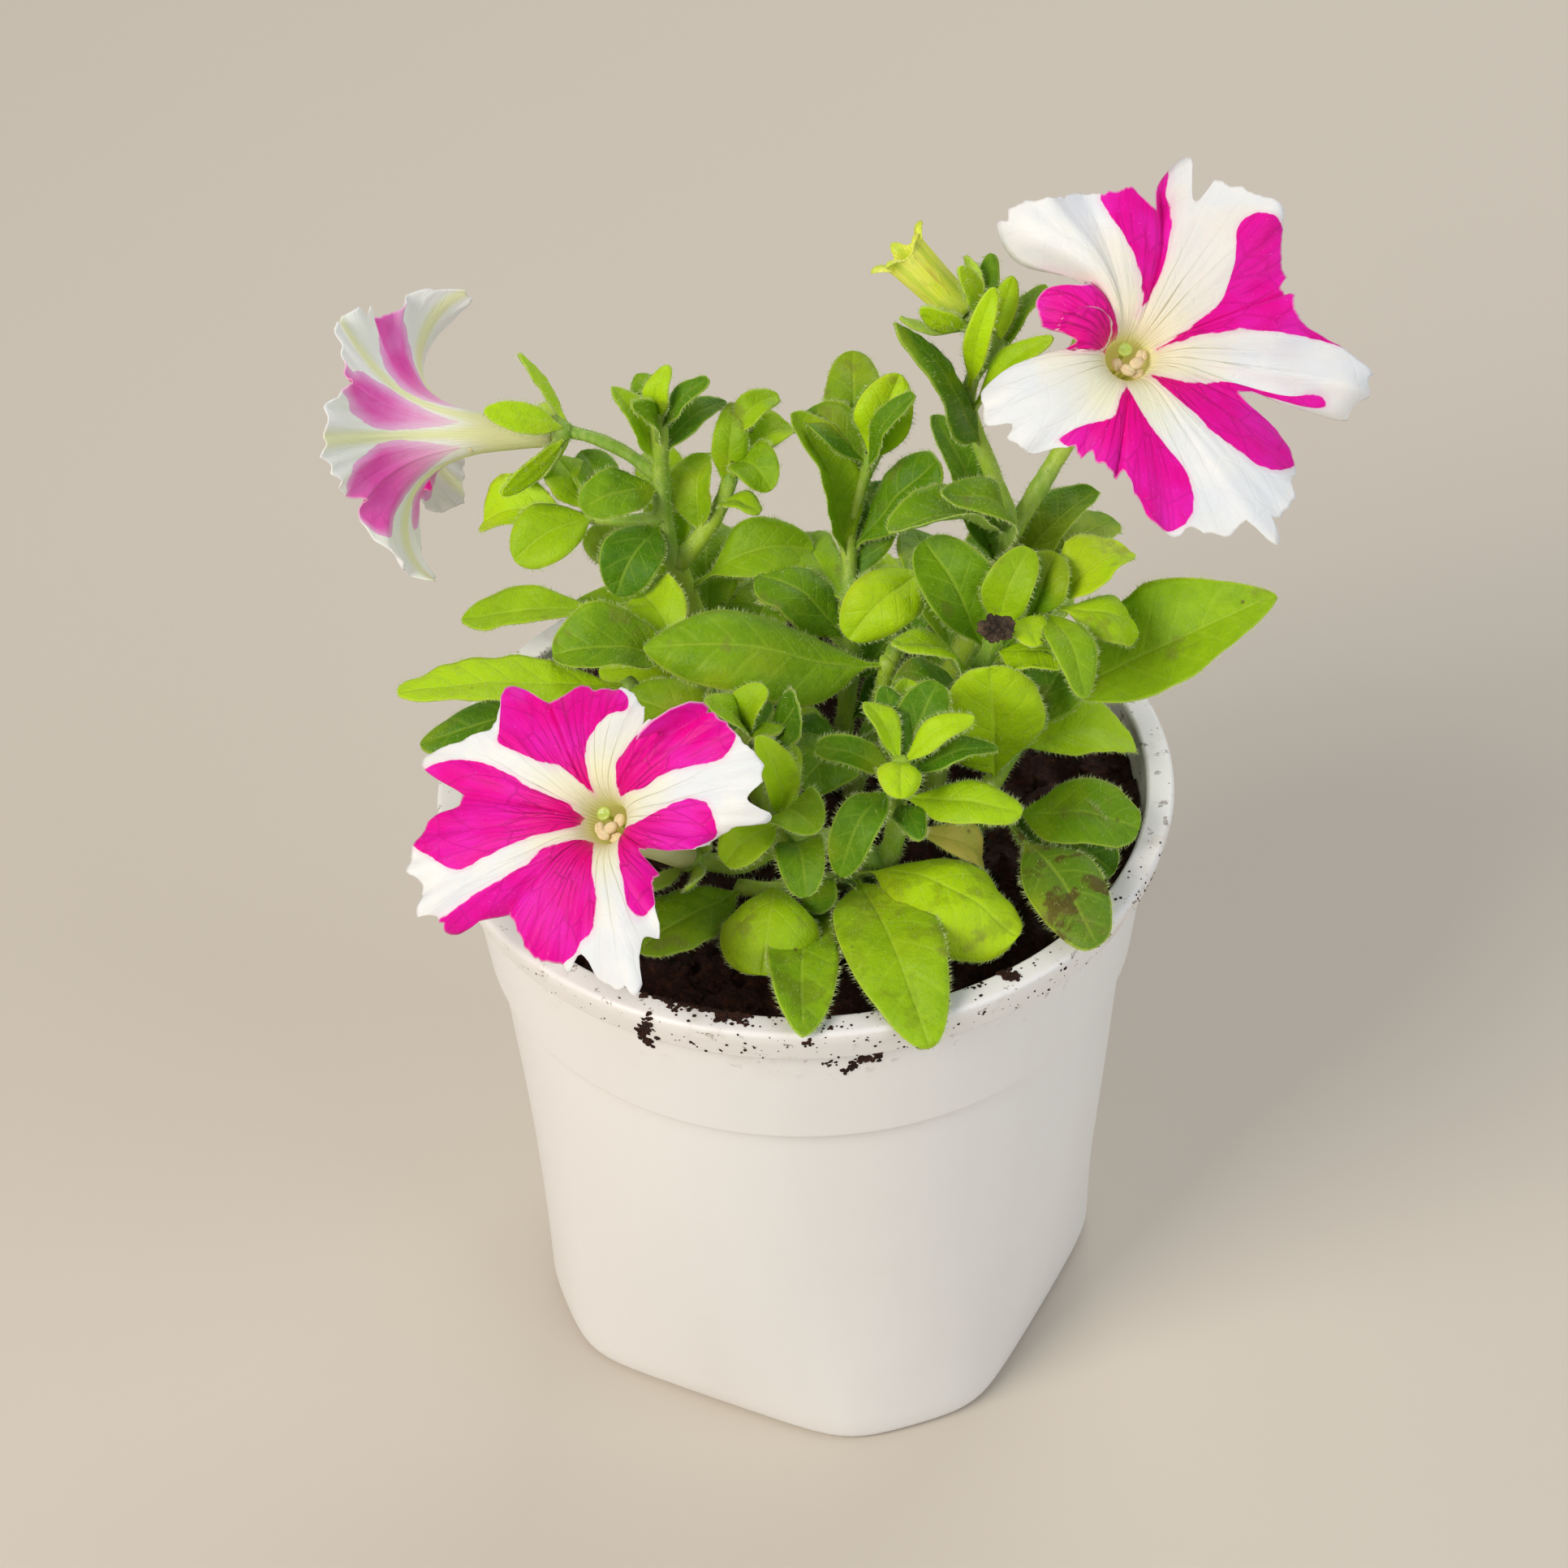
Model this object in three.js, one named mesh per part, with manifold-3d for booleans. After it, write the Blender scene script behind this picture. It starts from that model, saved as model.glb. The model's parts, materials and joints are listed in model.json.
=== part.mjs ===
import * as THREE from 'three';
import { mergeVertices } from 'three/addons/utils/BufferGeometryUtils.js';
import Module from 'manifold-3d';

// A petunia growing in a white plastic nursery pot.
// Millimetres, +Z up. The origin is the centre of the pot's underside, and the front is -Y.

const wasm = await Module();
wasm.setup();

const RADIANS = Math.PI / 180;
const GAP = 0.3;            // clearance kept between pieces that rest on each other
const BLADE = 0.7;          // thickness of leaves and sepals
const PETAL = 0.6;          // thickness of the flowers' funnels

// What all blades share.
const BLADES = {
  tipHalf: 0.55,            // narrowest half width, beside a tip
  crowding: 1.2,            // how the rows gather towards the tip
  roundness: 0.6,           // below 1 the outline is blunt, above 1 it is lance-shaped
  waves: 11,                // ripples of the edge, in radians along the blade
  waveShift: 1.4,           // the left edge ripples this much later than the right
};

// What all calyces share: a small cup, and sepals that start in it, swell at the hip and lie on the tube.
const CALYX = {
  cupFoot: 1.4,
  cupDeep: 2.6,
  sepalStart: -1.7,
  hipOut: 3.2,
  hipHeight: 0.6,
  tipOut: 1.6,
};

// What all funnels share.
const FUNNEL = {
  tubeLean: 12,             // degrees that the tube leans outwards at the throat
  tubeSwell: 1.4,
  tubeRows: [0.03, 1],
  limbRows: [0.12, 0.3, 0.52, 0.76, 1],
  curlGrowth: 2.5,          // the curl of an edge grows with this power of the way out
  steps: 18,                // steps in which the bend is summed up
};

// The pot: round at the rim, a rounded square with cut corners at the foot.
const POT = {
  height: 115,
  rimOuter: 63.5,           // 127 mm across the top
  rimInner: 58.7,
  bandDrop: 7.4,            // height of the outer band under the top face
  bandFoot: 61.7,
  collarTop: 59.6,
  collarFoot: 56.9,
  stepDrop: 31,             // the step ring lies this far under the top face
  stepIn: 1.5,
  footRadius: 47.9,         // mean radius of the foot
  footRound: 2.5,
  wall: 1.4,
  floor: 2,
  sideFlat: 44,             // distance of the four main flats from the axis, at the foot
  cornerFlat: 50,           // distance of the four cut corners from the axis
  flatFacing: -27,          // degrees, where the first main flat faces
  squareTop: 62,            // the flats have faded out at this height
  squareFade: 1.5,          // and fade with this power of the height
  squareSharpness: 60,      // how sharp the edges between the flats are
  bodyRow: 24,              // a row of points on the way up, which keeps the flats true
  edge: 0.8,                // rounding of the rim's outer edge
  ledge: 1.2,               // height over which the step goes from one wall to the next
  drainHoles: 6,
  drainRadius: 3.5,
  drainCircle: 27,
  sectors: 36,
};

const SOIL = {
  level: 107,
  slack: 1.3,               // shrunk away from the pot's wall by this much
  edgeSlack: 0.5,           // and by this much at its top edge
  lump: 1.1,                // height of the lumps
  edgeLump: 0.5,            // share of it that is left beside the pot
  rings: 4,
  sectors: 18,              // half of the pot's, so that its corners stand where the pot's do
};

// Small vector helpers.
const vec = (p) => new THREE.Vector3(p[0], p[1], p[2]);
const mix = (a, b, t) => a + (b - a) * t;
const smooth = (t) => {
  const c = Math.min(1, Math.max(0, t));
  return c * c * (3 - 2 * c);
};

// Closed surfaces from rows of points. A row is a list of vectors, and a tip is one vector.
class Skin {
  constructor() {
    this.points = [];
    this.faces = [];
  }

  add(point) {
    this.points.push(point.x, point.y, point.z);
    return this.points.length / 3 - 1;
  }

  addRow(row) {
    return row.map((point) => this.add(point));
  }

  // Two triangles for each cell between two rows of equal length, or a fan where one row is a single point.
  strip(lower, upper, closed) {
    if (lower.length === 1) {
      for (let i = 1; i < upper.length; i += 1) this.faces.push(lower[0], upper[i], upper[i - 1]);
      return;
    }
    if (upper.length === 1) {
      for (let i = 1; i < lower.length; i += 1) this.faces.push(lower[i - 1], lower[i], upper[0]);
      return;
    }
    const last = closed ? lower.length : lower.length - 1;
    for (let i = 0; i < last; i += 1) {
      const j = (i + 1) % lower.length;
      this.faces.push(lower[i], lower[j], upper[j], lower[i], upper[j], upper[i]);
    }
  }

  // A fan of triangles from one point to a closed row.
  fan(tip, row, flip) {
    for (let i = 0; i < row.length; i += 1) {
      const j = (i + 1) % row.length;
      if (flip) this.faces.push(tip, row[j], row[i]);
      else this.faces.push(tip, row[i], row[j]);
    }
  }

  geometry() {
    const geometry = new THREE.BufferGeometry();
    geometry.setAttribute('position', new THREE.Float32BufferAttribute(this.points, 3));
    geometry.setIndex(this.faces);
    return geometry;
  }
}

// A geometry as a solid for joining and cutting, with its faces pointing out.
function toSolid(geometry) {
  const bare = geometry.clone();
  bare.deleteAttribute('normal');
  bare.deleteAttribute('uv');
  const merged = mergeVertices(bare, 1e-4);
  const index = merged.index.array;
  const place = merged.attributes.position;
  const triangles = [];
  const [a, b, c] = [new THREE.Vector3(), new THREE.Vector3(), new THREE.Vector3()];
  let volume = 0;
  for (let i = 0; i < index.length; i += 3) {
    const [p, q, r] = [index[i], index[i + 1], index[i + 2]];
    if (p === q || q === r || r === p) continue;
    triangles.push(p, q, r);
    a.fromBufferAttribute(place, p);
    b.fromBufferAttribute(place, q);
    c.fromBufferAttribute(place, r);
    volume += a.dot(b.cross(c));
  }
  if (volume < 0) triangles.reverse();
  return new wasm.Manifold(new wasm.Mesh({
    numProp: 3,
    vertProperties: new Float32Array(place.array),
    triVerts: new Uint32Array(triangles),
  }));
}

function toGeometry(solid) {
  const mesh = solid.getMesh();
  const geometry = new THREE.BufferGeometry();
  geometry.setAttribute('position', new THREE.BufferAttribute(mesh.vertProperties, 3));
  geometry.setIndex(new THREE.BufferAttribute(mesh.triVerts, 1));
  return geometry;
}

function fuse(geometries) {
  return toGeometry(geometries.map(toSolid).reduce((sum, next) => sum.add(next)));
}

function cut(geometry, cutters) {
  return toGeometry(cutters.map(toSolid).reduce((rest, next) => rest.subtract(next), toSolid(geometry)));
}

// A round stem along a smooth curve, with its own radius at each end.
function stemTube(path, startRadius, endRadius, sides = 5, steps = path.length) {
  const curve = new THREE.CatmullRomCurve3(path.map(vec), false, 'centripetal');
  const frames = curve.computeFrenetFrames(steps, false);
  const skin = new Skin();
  const rows = [];
  for (let i = 0; i <= steps; i += 1) {
    const centre = curve.getPointAt(i / steps);
    const radius = mix(startRadius, endRadius, i / steps);
    const row = [];
    for (let k = 0; k < sides; k += 1) {
      const turn = (2 * Math.PI * k) / sides;
      row.push(centre.clone()
        .addScaledVector(frames.normals[i], radius * Math.cos(turn))
        .addScaledVector(frames.binormals[i], radius * Math.sin(turn)));
    }
    rows.push(skin.addRow(row));
    if (i > 0) skin.strip(rows[i - 1], rows[i], true);
  }
  skin.fan(skin.add(curve.getPointAt(0)), rows[0], true);
  skin.fan(skin.add(curve.getPointAt(1)), rows[steps], false);
  return skin.geometry();
}

// A blade: a thin leaf-shaped solid along a curve of three points, pointed at both ends.
// face is the side that its upper surface turns to.
function blade(spine, face, shape) {
  const { width, fold = 0.25, wave = 0.3, stalk = 0.1, fullest = 0.9, rows = 5, ribs = 1 } = shape;
  const curve = new THREE.QuadraticBezierCurve3(...spine);
  const upper = [];
  const lower = [];
  for (let i = 0; i <= rows; i += 1) {
    const along = Math.sin((Math.PI / 2) * (i / rows)) ** BLADES.crowding;
    const centre = curve.getPoint(along);
    const ahead = curve.getTangent(along);
    const out = face.clone().addScaledVector(ahead, -face.dot(ahead)).normalize();
    const side = new THREE.Vector3().crossVectors(ahead, out);
    const open = Math.max(0, (along - stalk) / (1 - stalk));
    const outline = Math.sin(Math.PI * open ** fullest) ** BLADES.roundness;
    const half = Math.max(BLADES.tipHalf, 0.5 * width * outline);
    const upperRow = [];
    const lowerRow = [];
    const reach = i === 0 || i === rows ? 0 : ribs;
    for (let k = -reach; k <= reach; k += 1) {
      const across = k / ribs;
      const lift = half * fold * Math.abs(across)
        + wave * Math.abs(across) * Math.sin(along * BLADES.waves + (across > 0 ? 0 : BLADES.waveShift));
      const point = centre.clone()
        .addScaledVector(side, half * across * Math.cos(fold))
        .addScaledVector(out, lift);
      upperRow.push(point.clone().addScaledVector(out, BLADE / 2));
      lowerRow.push(point.clone().addScaledVector(out, -BLADE / 2));
    }
    upper.push(upperRow);
    lower.push(lowerRow);
  }
  return closeSheet(upper, lower);
}

// Two like grids of points become the two faces of one thin solid. Their first and last rows are one point.
function closeSheet(upper, lower) {
  const skin = new Skin();
  const top = upper.map((row) => skin.addRow(row));
  const bottom = lower.map((row) => skin.addRow(row));
  for (let i = 1; i < top.length; i += 1) {
    skin.strip(top[i - 1], top[i], false);
    skin.strip(bottom[i], bottom[i - 1], false);
    skin.strip([bottom[i][0], bottom[i - 1][0]], [top[i][0], top[i - 1][0]], false);
    skin.strip([bottom[i - 1].at(-1), bottom[i].at(-1)], [top[i - 1].at(-1), top[i].at(-1)], false);
  }
  return skin.geometry();
}

// A leaf from a point on its stem to its tip. arch is how high its back rises over the straight line,
// and roll turns the blade about that line.
function leaf(base, tip, shape) {
  const { arch = 2, roll = 0 } = shape;
  const start = base.clone();
  const end = vec(tip);
  const chord = end.clone().sub(start).normalize();
  const face = new THREE.Vector3(0, -0.3, 1);
  face.addScaledVector(chord, -face.dot(chord)).normalize().applyAxisAngle(chord, roll * RADIANS);
  const middle = start.clone().lerp(end, 0.5).addScaledVector(face, 2 * arch);
  return blade([start, middle, end], face, shape);
}

// Where a flower sits: its foot and the way it faces. Its own +Z runs up the tube, and its own +Y is the
// side that is highest as seen from the front.
const UPRIGHT = new THREE.Vector3(0, 0.655, 0.756);

function flowerPlace(foot, facing) {
  const axis = vec(facing).normalize();
  const rise = UPRIGHT.clone().addScaledVector(axis, -UPRIGHT.dot(axis)).normalize();
  const right = new THREE.Vector3().crossVectors(rise, axis);
  return new THREE.Matrix4().makeBasis(right, rise, axis).setPosition(vec(foot));
}

// The calyx: a small cup under the flower's tube and five narrow sepals round it.
function calyx(bloom) {
  const place = flowerPlace(bloom.foot, bloom.facing);
  const { cupFoot, cupDeep, sepalStart, hipOut, hipHeight, tipOut } = CALYX;
  const cup = new THREE.CylinderGeometry(bloom.cup, cupFoot, cupDeep, 8);
  cup.rotateX(Math.PI / 2);
  cup.translate(0, 0, -cupDeep / 2 - GAP);
  const pieces = [cup];
  for (const [turn, long, spread] of bloom.sepals) {
    const way = new THREE.Vector3(Math.cos(turn * RADIANS), Math.sin(turn * RADIANS), 0);
    const start = way.clone().multiplyScalar(cupFoot).setZ(sepalStart);
    const hip = way.clone().multiplyScalar(bloom.cup + hipOut).setZ(hipHeight);
    const end = way.clone().multiplyScalar(bloom.cup + tipOut + long * Math.sin(spread * RADIANS));
    end.setZ(long * Math.cos(spread * RADIANS));
    const inward = way.clone().negate();
    pieces.push(blade([start, hip, end], inward, {
      width: bloom.sepalWidth, fold: -0.1, wave: 0, stalk: 0, fullest: 1.3, rows: 3,
    }));
  }
  pieces.forEach((piece) => piece.applyMatrix4(place));
  return pieces;
}

// Edge lengths of a lobe with a round tip, from one seam to just before the next.
function roundEdge(seamLong, tipLong, count) {
  const lengths = [];
  for (let k = 0; k < count; k += 1) {
    const off = Math.abs(-1 + (2 * k) / count);
    lengths.push(mix(seamLong, tipLong, (1 - off ** 2.6) ** 0.6));
  }
  return lengths;
}

// The funnel of a flower, with its foot at the origin and its mouth up +Z.
// Between two seams lies one lobe. Its edge is a list of lengths from the throat, at even turns from the
// seam before it to its rib and on to the seam after it.
function funnel(bloom) {
  const { tube, heel = 2.5, throat, flare, seams, lobes, ruffle, limbRows = FUNNEL.limbRows } = bloom;
  const columns = [];
  lobes.forEach((lobe, i) => {
    const before = seams[i];
    const after = seams[(i + 1) % seams.length];
    const previous = lobes[(i + lobes.length - 1) % lobes.length];
    const next = lobes[(i + 1) % lobes.length];
    lobe.edge.forEach((long, k) => {
      const off = -1 + (2 * k) / lobe.edge.length;
      const seam = off < 0 ? before : after;
      const other = off < 0 ? previous : next;
      const swing = ((seam.turn - lobe.rib) * Math.sign(off) + 360) % 360;
      const blend = smooth(Math.abs(off));
      columns.push({
        turn: (lobe.rib + off * swing) * RADIANS,
        long,
        spread: mix(lobe.spread, (lobe.spread + other.spread) / 2 + seam.fold, blend) * RADIANS,
        curl: mix(lobe.curl, seam.curl, blend) * RADIANS,
        ruffle: ruffle * Math.sin(Math.PI * 2 * off + i * 1.9),
      });
    });
  });
  const grid = FUNNEL.tubeRows.map((part) => columns.map((column) => {
    const radius = mix(heel, throat, part ** FUNNEL.tubeSwell);
    return new THREE.Vector3(radius * Math.cos(column.turn), radius * Math.sin(column.turn), tube * part);
  }));
  for (const part of limbRows) {
    grid.push(columns.map((column) => {
      const reach = column.long * part;
      let radius = throat;
      let height = tube;
      for (let step = 0; step < FUNNEL.steps; step += 1) {
        const run = (reach * (step + 0.5)) / FUNNEL.steps;
        const lean = mix(FUNNEL.tubeLean * RADIANS, column.spread, smooth(run / flare))
          + column.curl * (run / column.long) ** FUNNEL.curlGrowth;
        radius += (Math.sin(lean) * reach) / FUNNEL.steps;
        height += (Math.cos(lean) * reach) / FUNNEL.steps;
      }
      height += column.ruffle * part * part;
      return new THREE.Vector3(radius * Math.cos(column.turn), radius * Math.sin(column.turn), height);
    }));
  }
  return closeFunnel(grid, new THREE.Vector3(0, 0, 0));
}

// A funnel's grid of points, closed to a wall of even thickness. heel is the point under its foot.
function closeFunnel(grid, heel) {
  const count = grid[0].length;
  const outwards = grid.map((row, i) => row.map((point, k) => {
    const above = grid[Math.min(i + 1, grid.length - 1)][k];
    const below = i > 0 ? grid[i - 1][k] : heel;
    const left = row[(k + 1) % count];
    const right = row[(k + count - 1) % count];
    const up = above.clone().sub(below);
    const round = left.clone().sub(right);
    return round.cross(up).normalize();
  }));
  const skin = new Skin();
  const shift = (distance) => grid.map((row, i) => skin.addRow(
    row.map((point, k) => point.clone().addScaledVector(outwards[i][k], distance)),
  ));
  const outside = shift(PETAL / 2);
  const inside = shift(-PETAL / 2);
  for (let i = 1; i < grid.length; i += 1) {
    skin.strip(outside[i - 1], outside[i], true);
    skin.strip(inside[i], inside[i - 1], true);
  }
  const last = grid.length - 1;
  skin.strip(outside[last], inside[last], true);
  skin.fan(skin.add(heel), outside[0], true);
  skin.fan(skin.add(heel.clone().setZ(heel.z + PETAL + 0.4)), inside[0], false);
  return skin.geometry();
}

// How far the foot's outline lies from the axis in one direction: four main flats with four cut corners
// between them. Only the flats that face that direction count.
function footRadius(turn) {
  const facing = 0.3;
  let sum = 0;
  for (let k = 0; k < 8; k += 1) {
    const reach = Math.cos(turn - (POT.flatFacing + 45 * k) * RADIANS);
    if (reach > facing) sum += (reach / (k % 2 ? POT.cornerFlat : POT.sideFlat)) ** POT.squareSharpness;
  }
  return sum ** (-1 / POT.squareSharpness);
}

// Turns a profile of [radius, height] round +Z and presses the flats into its foot. The middle of the
// floor, inside innerFloor, is pressed less the nearer it lies to the axis.
function turned(profile, sectors) {
  const innerFloor = 40;
  const points = profile.map(([radius, height]) => new THREE.Vector2(radius, height));
  const geometry = new THREE.LatheGeometry(points, sectors);
  geometry.rotateX(Math.PI / 2);
  const place = geometry.attributes.position;
  for (let i = 0; i < place.count; i += 1) {
    const [x, y, z] = [place.getX(i), place.getY(i), place.getZ(i)];
    const radius = Math.hypot(x, y);
    if (radius < 1 || z > POT.squareTop) continue;
    const turn = Math.atan2(y, x);
    const pressed = (footRadius(turn) - POT.footRadius) * (1 - z / POT.squareTop) ** POT.squareFade;
    const scale = 1 + (pressed * Math.min(1, radius / innerFloor)) / radius;
    place.setXY(i, x * scale, y * scale);
  }
  return geometry;
}

const stepHeight = POT.height - POT.stepDrop;
const bandHeight = POT.height - POT.bandDrop;
const bodyTop = POT.collarFoot - POT.stepIn;
const bodyAt = (height) => mix(POT.footRadius, bodyTop, height / stepHeight);

function potGeometry() {
  const { height, wall, floor, footRound, bodyRow, squareTop, collarFoot, collarTop, edge, ledge } = POT;
  const roundIn = footRound * 0.3;
  const outside = [
    [0, 0],
    [POT.footRadius - footRound, 0],
    [POT.footRadius - roundIn, roundIn],
    [bodyAt(footRound), footRound],
    [bodyAt(bodyRow), bodyRow],
    [bodyAt(squareTop), squareTop],
    [bodyTop, stepHeight],
    [collarFoot, stepHeight + ledge],
    [collarTop, bandHeight - ledge / 2],
    [POT.bandFoot, bandHeight],
    [POT.rimOuter, height - edge],
    [POT.rimOuter - edge, height],
  ];
  const inside = [
    [POT.rimInner, height],
    [collarTop - wall, bandHeight - ledge / 2],
    [collarFoot - wall, stepHeight + ledge],
    [bodyTop - wall, stepHeight],
    [bodyAt(squareTop) - wall, squareTop],
    [bodyAt(bodyRow) - wall, bodyRow],
    [bodyAt(floor) - wall - roundIn, floor],
    [0, floor],
  ];
  const holes = [];
  for (let k = 0; k < POT.drainHoles; k += 1) {
    const turn = (2 * Math.PI * (k + 0.5)) / POT.drainHoles;
    const hole = new THREE.CylinderGeometry(POT.drainRadius, POT.drainRadius, floor * 3, 8);
    hole.rotateX(Math.PI / 2);
    hole.translate(POT.drainCircle * Math.cos(turn), POT.drainCircle * Math.sin(turn), floor / 2);
    holes.push(hole);
  }
  return cut(turned([...outside, ...inside], POT.sectors), holes);
}

// How lumpy the soil's top is at a place, between -1.6 and 1.6: two crossing waves.
function lumpAt(x, y) {
  const small = Math.sin(0.31 * x + 1) * Math.cos(0.27 * y);
  return small + 0.6 * Math.sin(0.13 * x - 0.41 * y + 2);
}

// The soil fills the pot, its top is lumpy, and each stem stands in its own plain hole.
function soilGeometry(shoots) {
  const inset = POT.wall + SOIL.slack;
  const edge = POT.collarTop - POT.wall - SOIL.edgeSlack;
  const profile = [
    [0, POT.floor + GAP],
    [bodyAt(POT.floor) - inset - POT.ledge / 2, POT.floor + GAP],
    [bodyAt(POT.bodyRow) - inset, POT.bodyRow],
    [bodyAt(POT.squareTop) - inset, POT.squareTop],
    [bodyTop - inset, stepHeight],
    [POT.collarFoot - inset, stepHeight + POT.ledge],
    [edge, SOIL.level],
  ];
  for (let ring = SOIL.rings - 1; ring >= 0; ring -= 1) {
    profile.push([(edge * ring) / SOIL.rings, SOIL.level]);
  }
  const geometry = turned(profile, SOIL.sectors);
  const place = geometry.attributes.position;
  for (let i = 0; i < place.count; i += 1) {
    const [x, y, z] = [place.getX(i), place.getY(i), place.getZ(i)];
    if (z < SOIL.level - 0.1) continue;
    const share = Math.hypot(x, y) > edge - 1 ? SOIL.edgeLump : 1;
    place.setZ(i, z + SOIL.lump * share * lumpAt(x, y));
  }
  const holes = Object.values(shoots).map(({ stems }) => {
    const { path, thick } = stems.main;
    const sides = 6;
    const radius = (thick[0] / 2 + GAP) / Math.cos(Math.PI / sides);
    const below = vec(path[0]).addScaledVector(vec(path[1]).sub(vec(path[0])).normalize(), -GAP);
    return stemTube([below.toArray(), ...path.slice(1, 3)], radius, radius, sides, 2);
  });
  return cut(geometry, holes);
}

// The flowers. foot is the point under the tube, facing the way the mouth looks.
// Turns are degrees round the flower, seen from its front, from its right side.
const BLOOMS = {
  front: {
    foot: [-20.6, -25.2, 121.2],
    facing: [-0.41, -0.53, 0.74],
    cup: 2.9,
    sepalWidth: 3.6,
    sepals: [[20, 12, 22], [92, 11, 25], [164, 12, 20], [236, 11, 24], [308, 12, 26]],
    tube: 27,
    throat: 4,
    flare: 11,
    ruffle: 1.1,
    seams: [
      { turn: -31, fold: -6, curl: 60 },
      { turn: 53, fold: -12, curl: 30 },
      { turn: 117, fold: 4, curl: 20 },
      { turn: 170, fold: 4, curl: 20 },
      { turn: 226, fold: 0, curl: 30 },
    ],
    lobes: [
      { rib: 8, spread: 84, curl: 18, edge: [11, 20, 27, 31, 30, 27] },
      { rib: 84, spread: 84, curl: 55, edge: [19.5, 19.5, 21.5, 23.5, 23, 24] },
      { rib: 153, spread: 82, curl: 12, edge: [22, 29.5, 25, 29, 33, 34] },
      { rib: 207, spread: 80, curl: 20, edge: [26, 32, 35, 35.5, 32, 27] },
      { rib: 286, spread: 84, curl: 22, edge: [22, 25.5, 25, 30.5, 24, 18] },
    ],
  },
  right: {
    foot: [49.4, 21.4, 177.7],
    facing: [0.18, -0.62, 0.76],
    cup: 2.9,
    sepalWidth: 3.6,
    sepals: [[35, 12, 30], [107, 11, 28], [179, 12, 26], [251, 11, 26], [323, 12, 28]],
    tube: 27,
    throat: 4.2,
    flare: 11,
    ruffle: 1.3,
    seams: [
      { turn: 257, fold: 0, curl: 20 },
      { turn: 340, fold: 6, curl: 20 },
      { turn: 18, fold: -4, curl: 15 },
      { turn: 72, fold: 8, curl: 20 },
      { turn: 130, fold: -6, curl: 140 },
    ],
    lobes: [
      { rib: 297, spread: 82, curl: 12, edge: [21.5, 31, 35, 37, 35, 32] },
      { rib: 351, spread: 84, curl: 22, edge: [25, 37, 40, 40.5, 33, 28] },
      { rib: 52, spread: 80, curl: 10, edge: [27, 30.5, 34.5, 34, 32, 35.5] },
      { rib: 110, spread: 88, curl: 40, edge: [27, 30.5, 31, 30, 34, 33] },
      { rib: 192, spread: 88, curl: 60, edge: [26, 20.5, 16.5, 26, 24.5, 21.5] },
    ],
  },
  left: {
    foot: [-41, 40.2, 161.6],
    facing: [-0.94, 0.285, -0.195],
    cup: 2.9,
    sepalWidth: 4.4,
    sepals: [[15, 11, 40], [85, 11, 55], [160, 11, 40], [232, 11, 36], [300, 11, 48]],
    tube: 14,
    throat: 3.6,
    flare: 26,
    ruffle: 0.9,
    seams: [-40, 24, 84, 160, 240].map((turn) => ({ turn, fold: 4, curl: 30 })),
    lobes: [
      { rib: -5, spread: 78, curl: 15, edge: roundEdge(28, 33, 6) },
      { rib: 50, spread: 80, curl: 30, edge: roundEdge(28, 34, 6) },
      { rib: 120, spread: 84, curl: 75, edge: roundEdge(28, 33, 6) },
      { rib: 204, spread: 82, curl: 60, edge: roundEdge(26, 29, 6) },
      { rib: 280, spread: 78, curl: 45, edge: roundEdge(26, 31, 6) },
    ],
  },
};

// The youngest flower is still a narrow trumpet with five curled tips.
const BUD = {
  foot: [29, 22.3, 196],
  facing: [-0.68, 0.28, 0.68],
  cup: 2.6,
  heel: 2.2,
  sepalWidth: 4.2,
  sepals: [[20, 8, 24], [92, 7, 26], [164, 8, 24], [236, 8, 30], [308, 8, 26]],
  tube: 13,
  throat: 2.9,
  flare: 4,
  ruffle: 0,
  limbRows: [0.3, 0.65, 1],
  seams: [-16, 56, 128, 200, 272].map((turn) => ({ turn, fold: -20, curl: 95 })),
  lobes: [20, 92, 164, 236, 308].map((rib) => ({ rib, spread: 40, curl: 95, edge: roundEdge(1.2, 5, 4) })),
};

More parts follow.
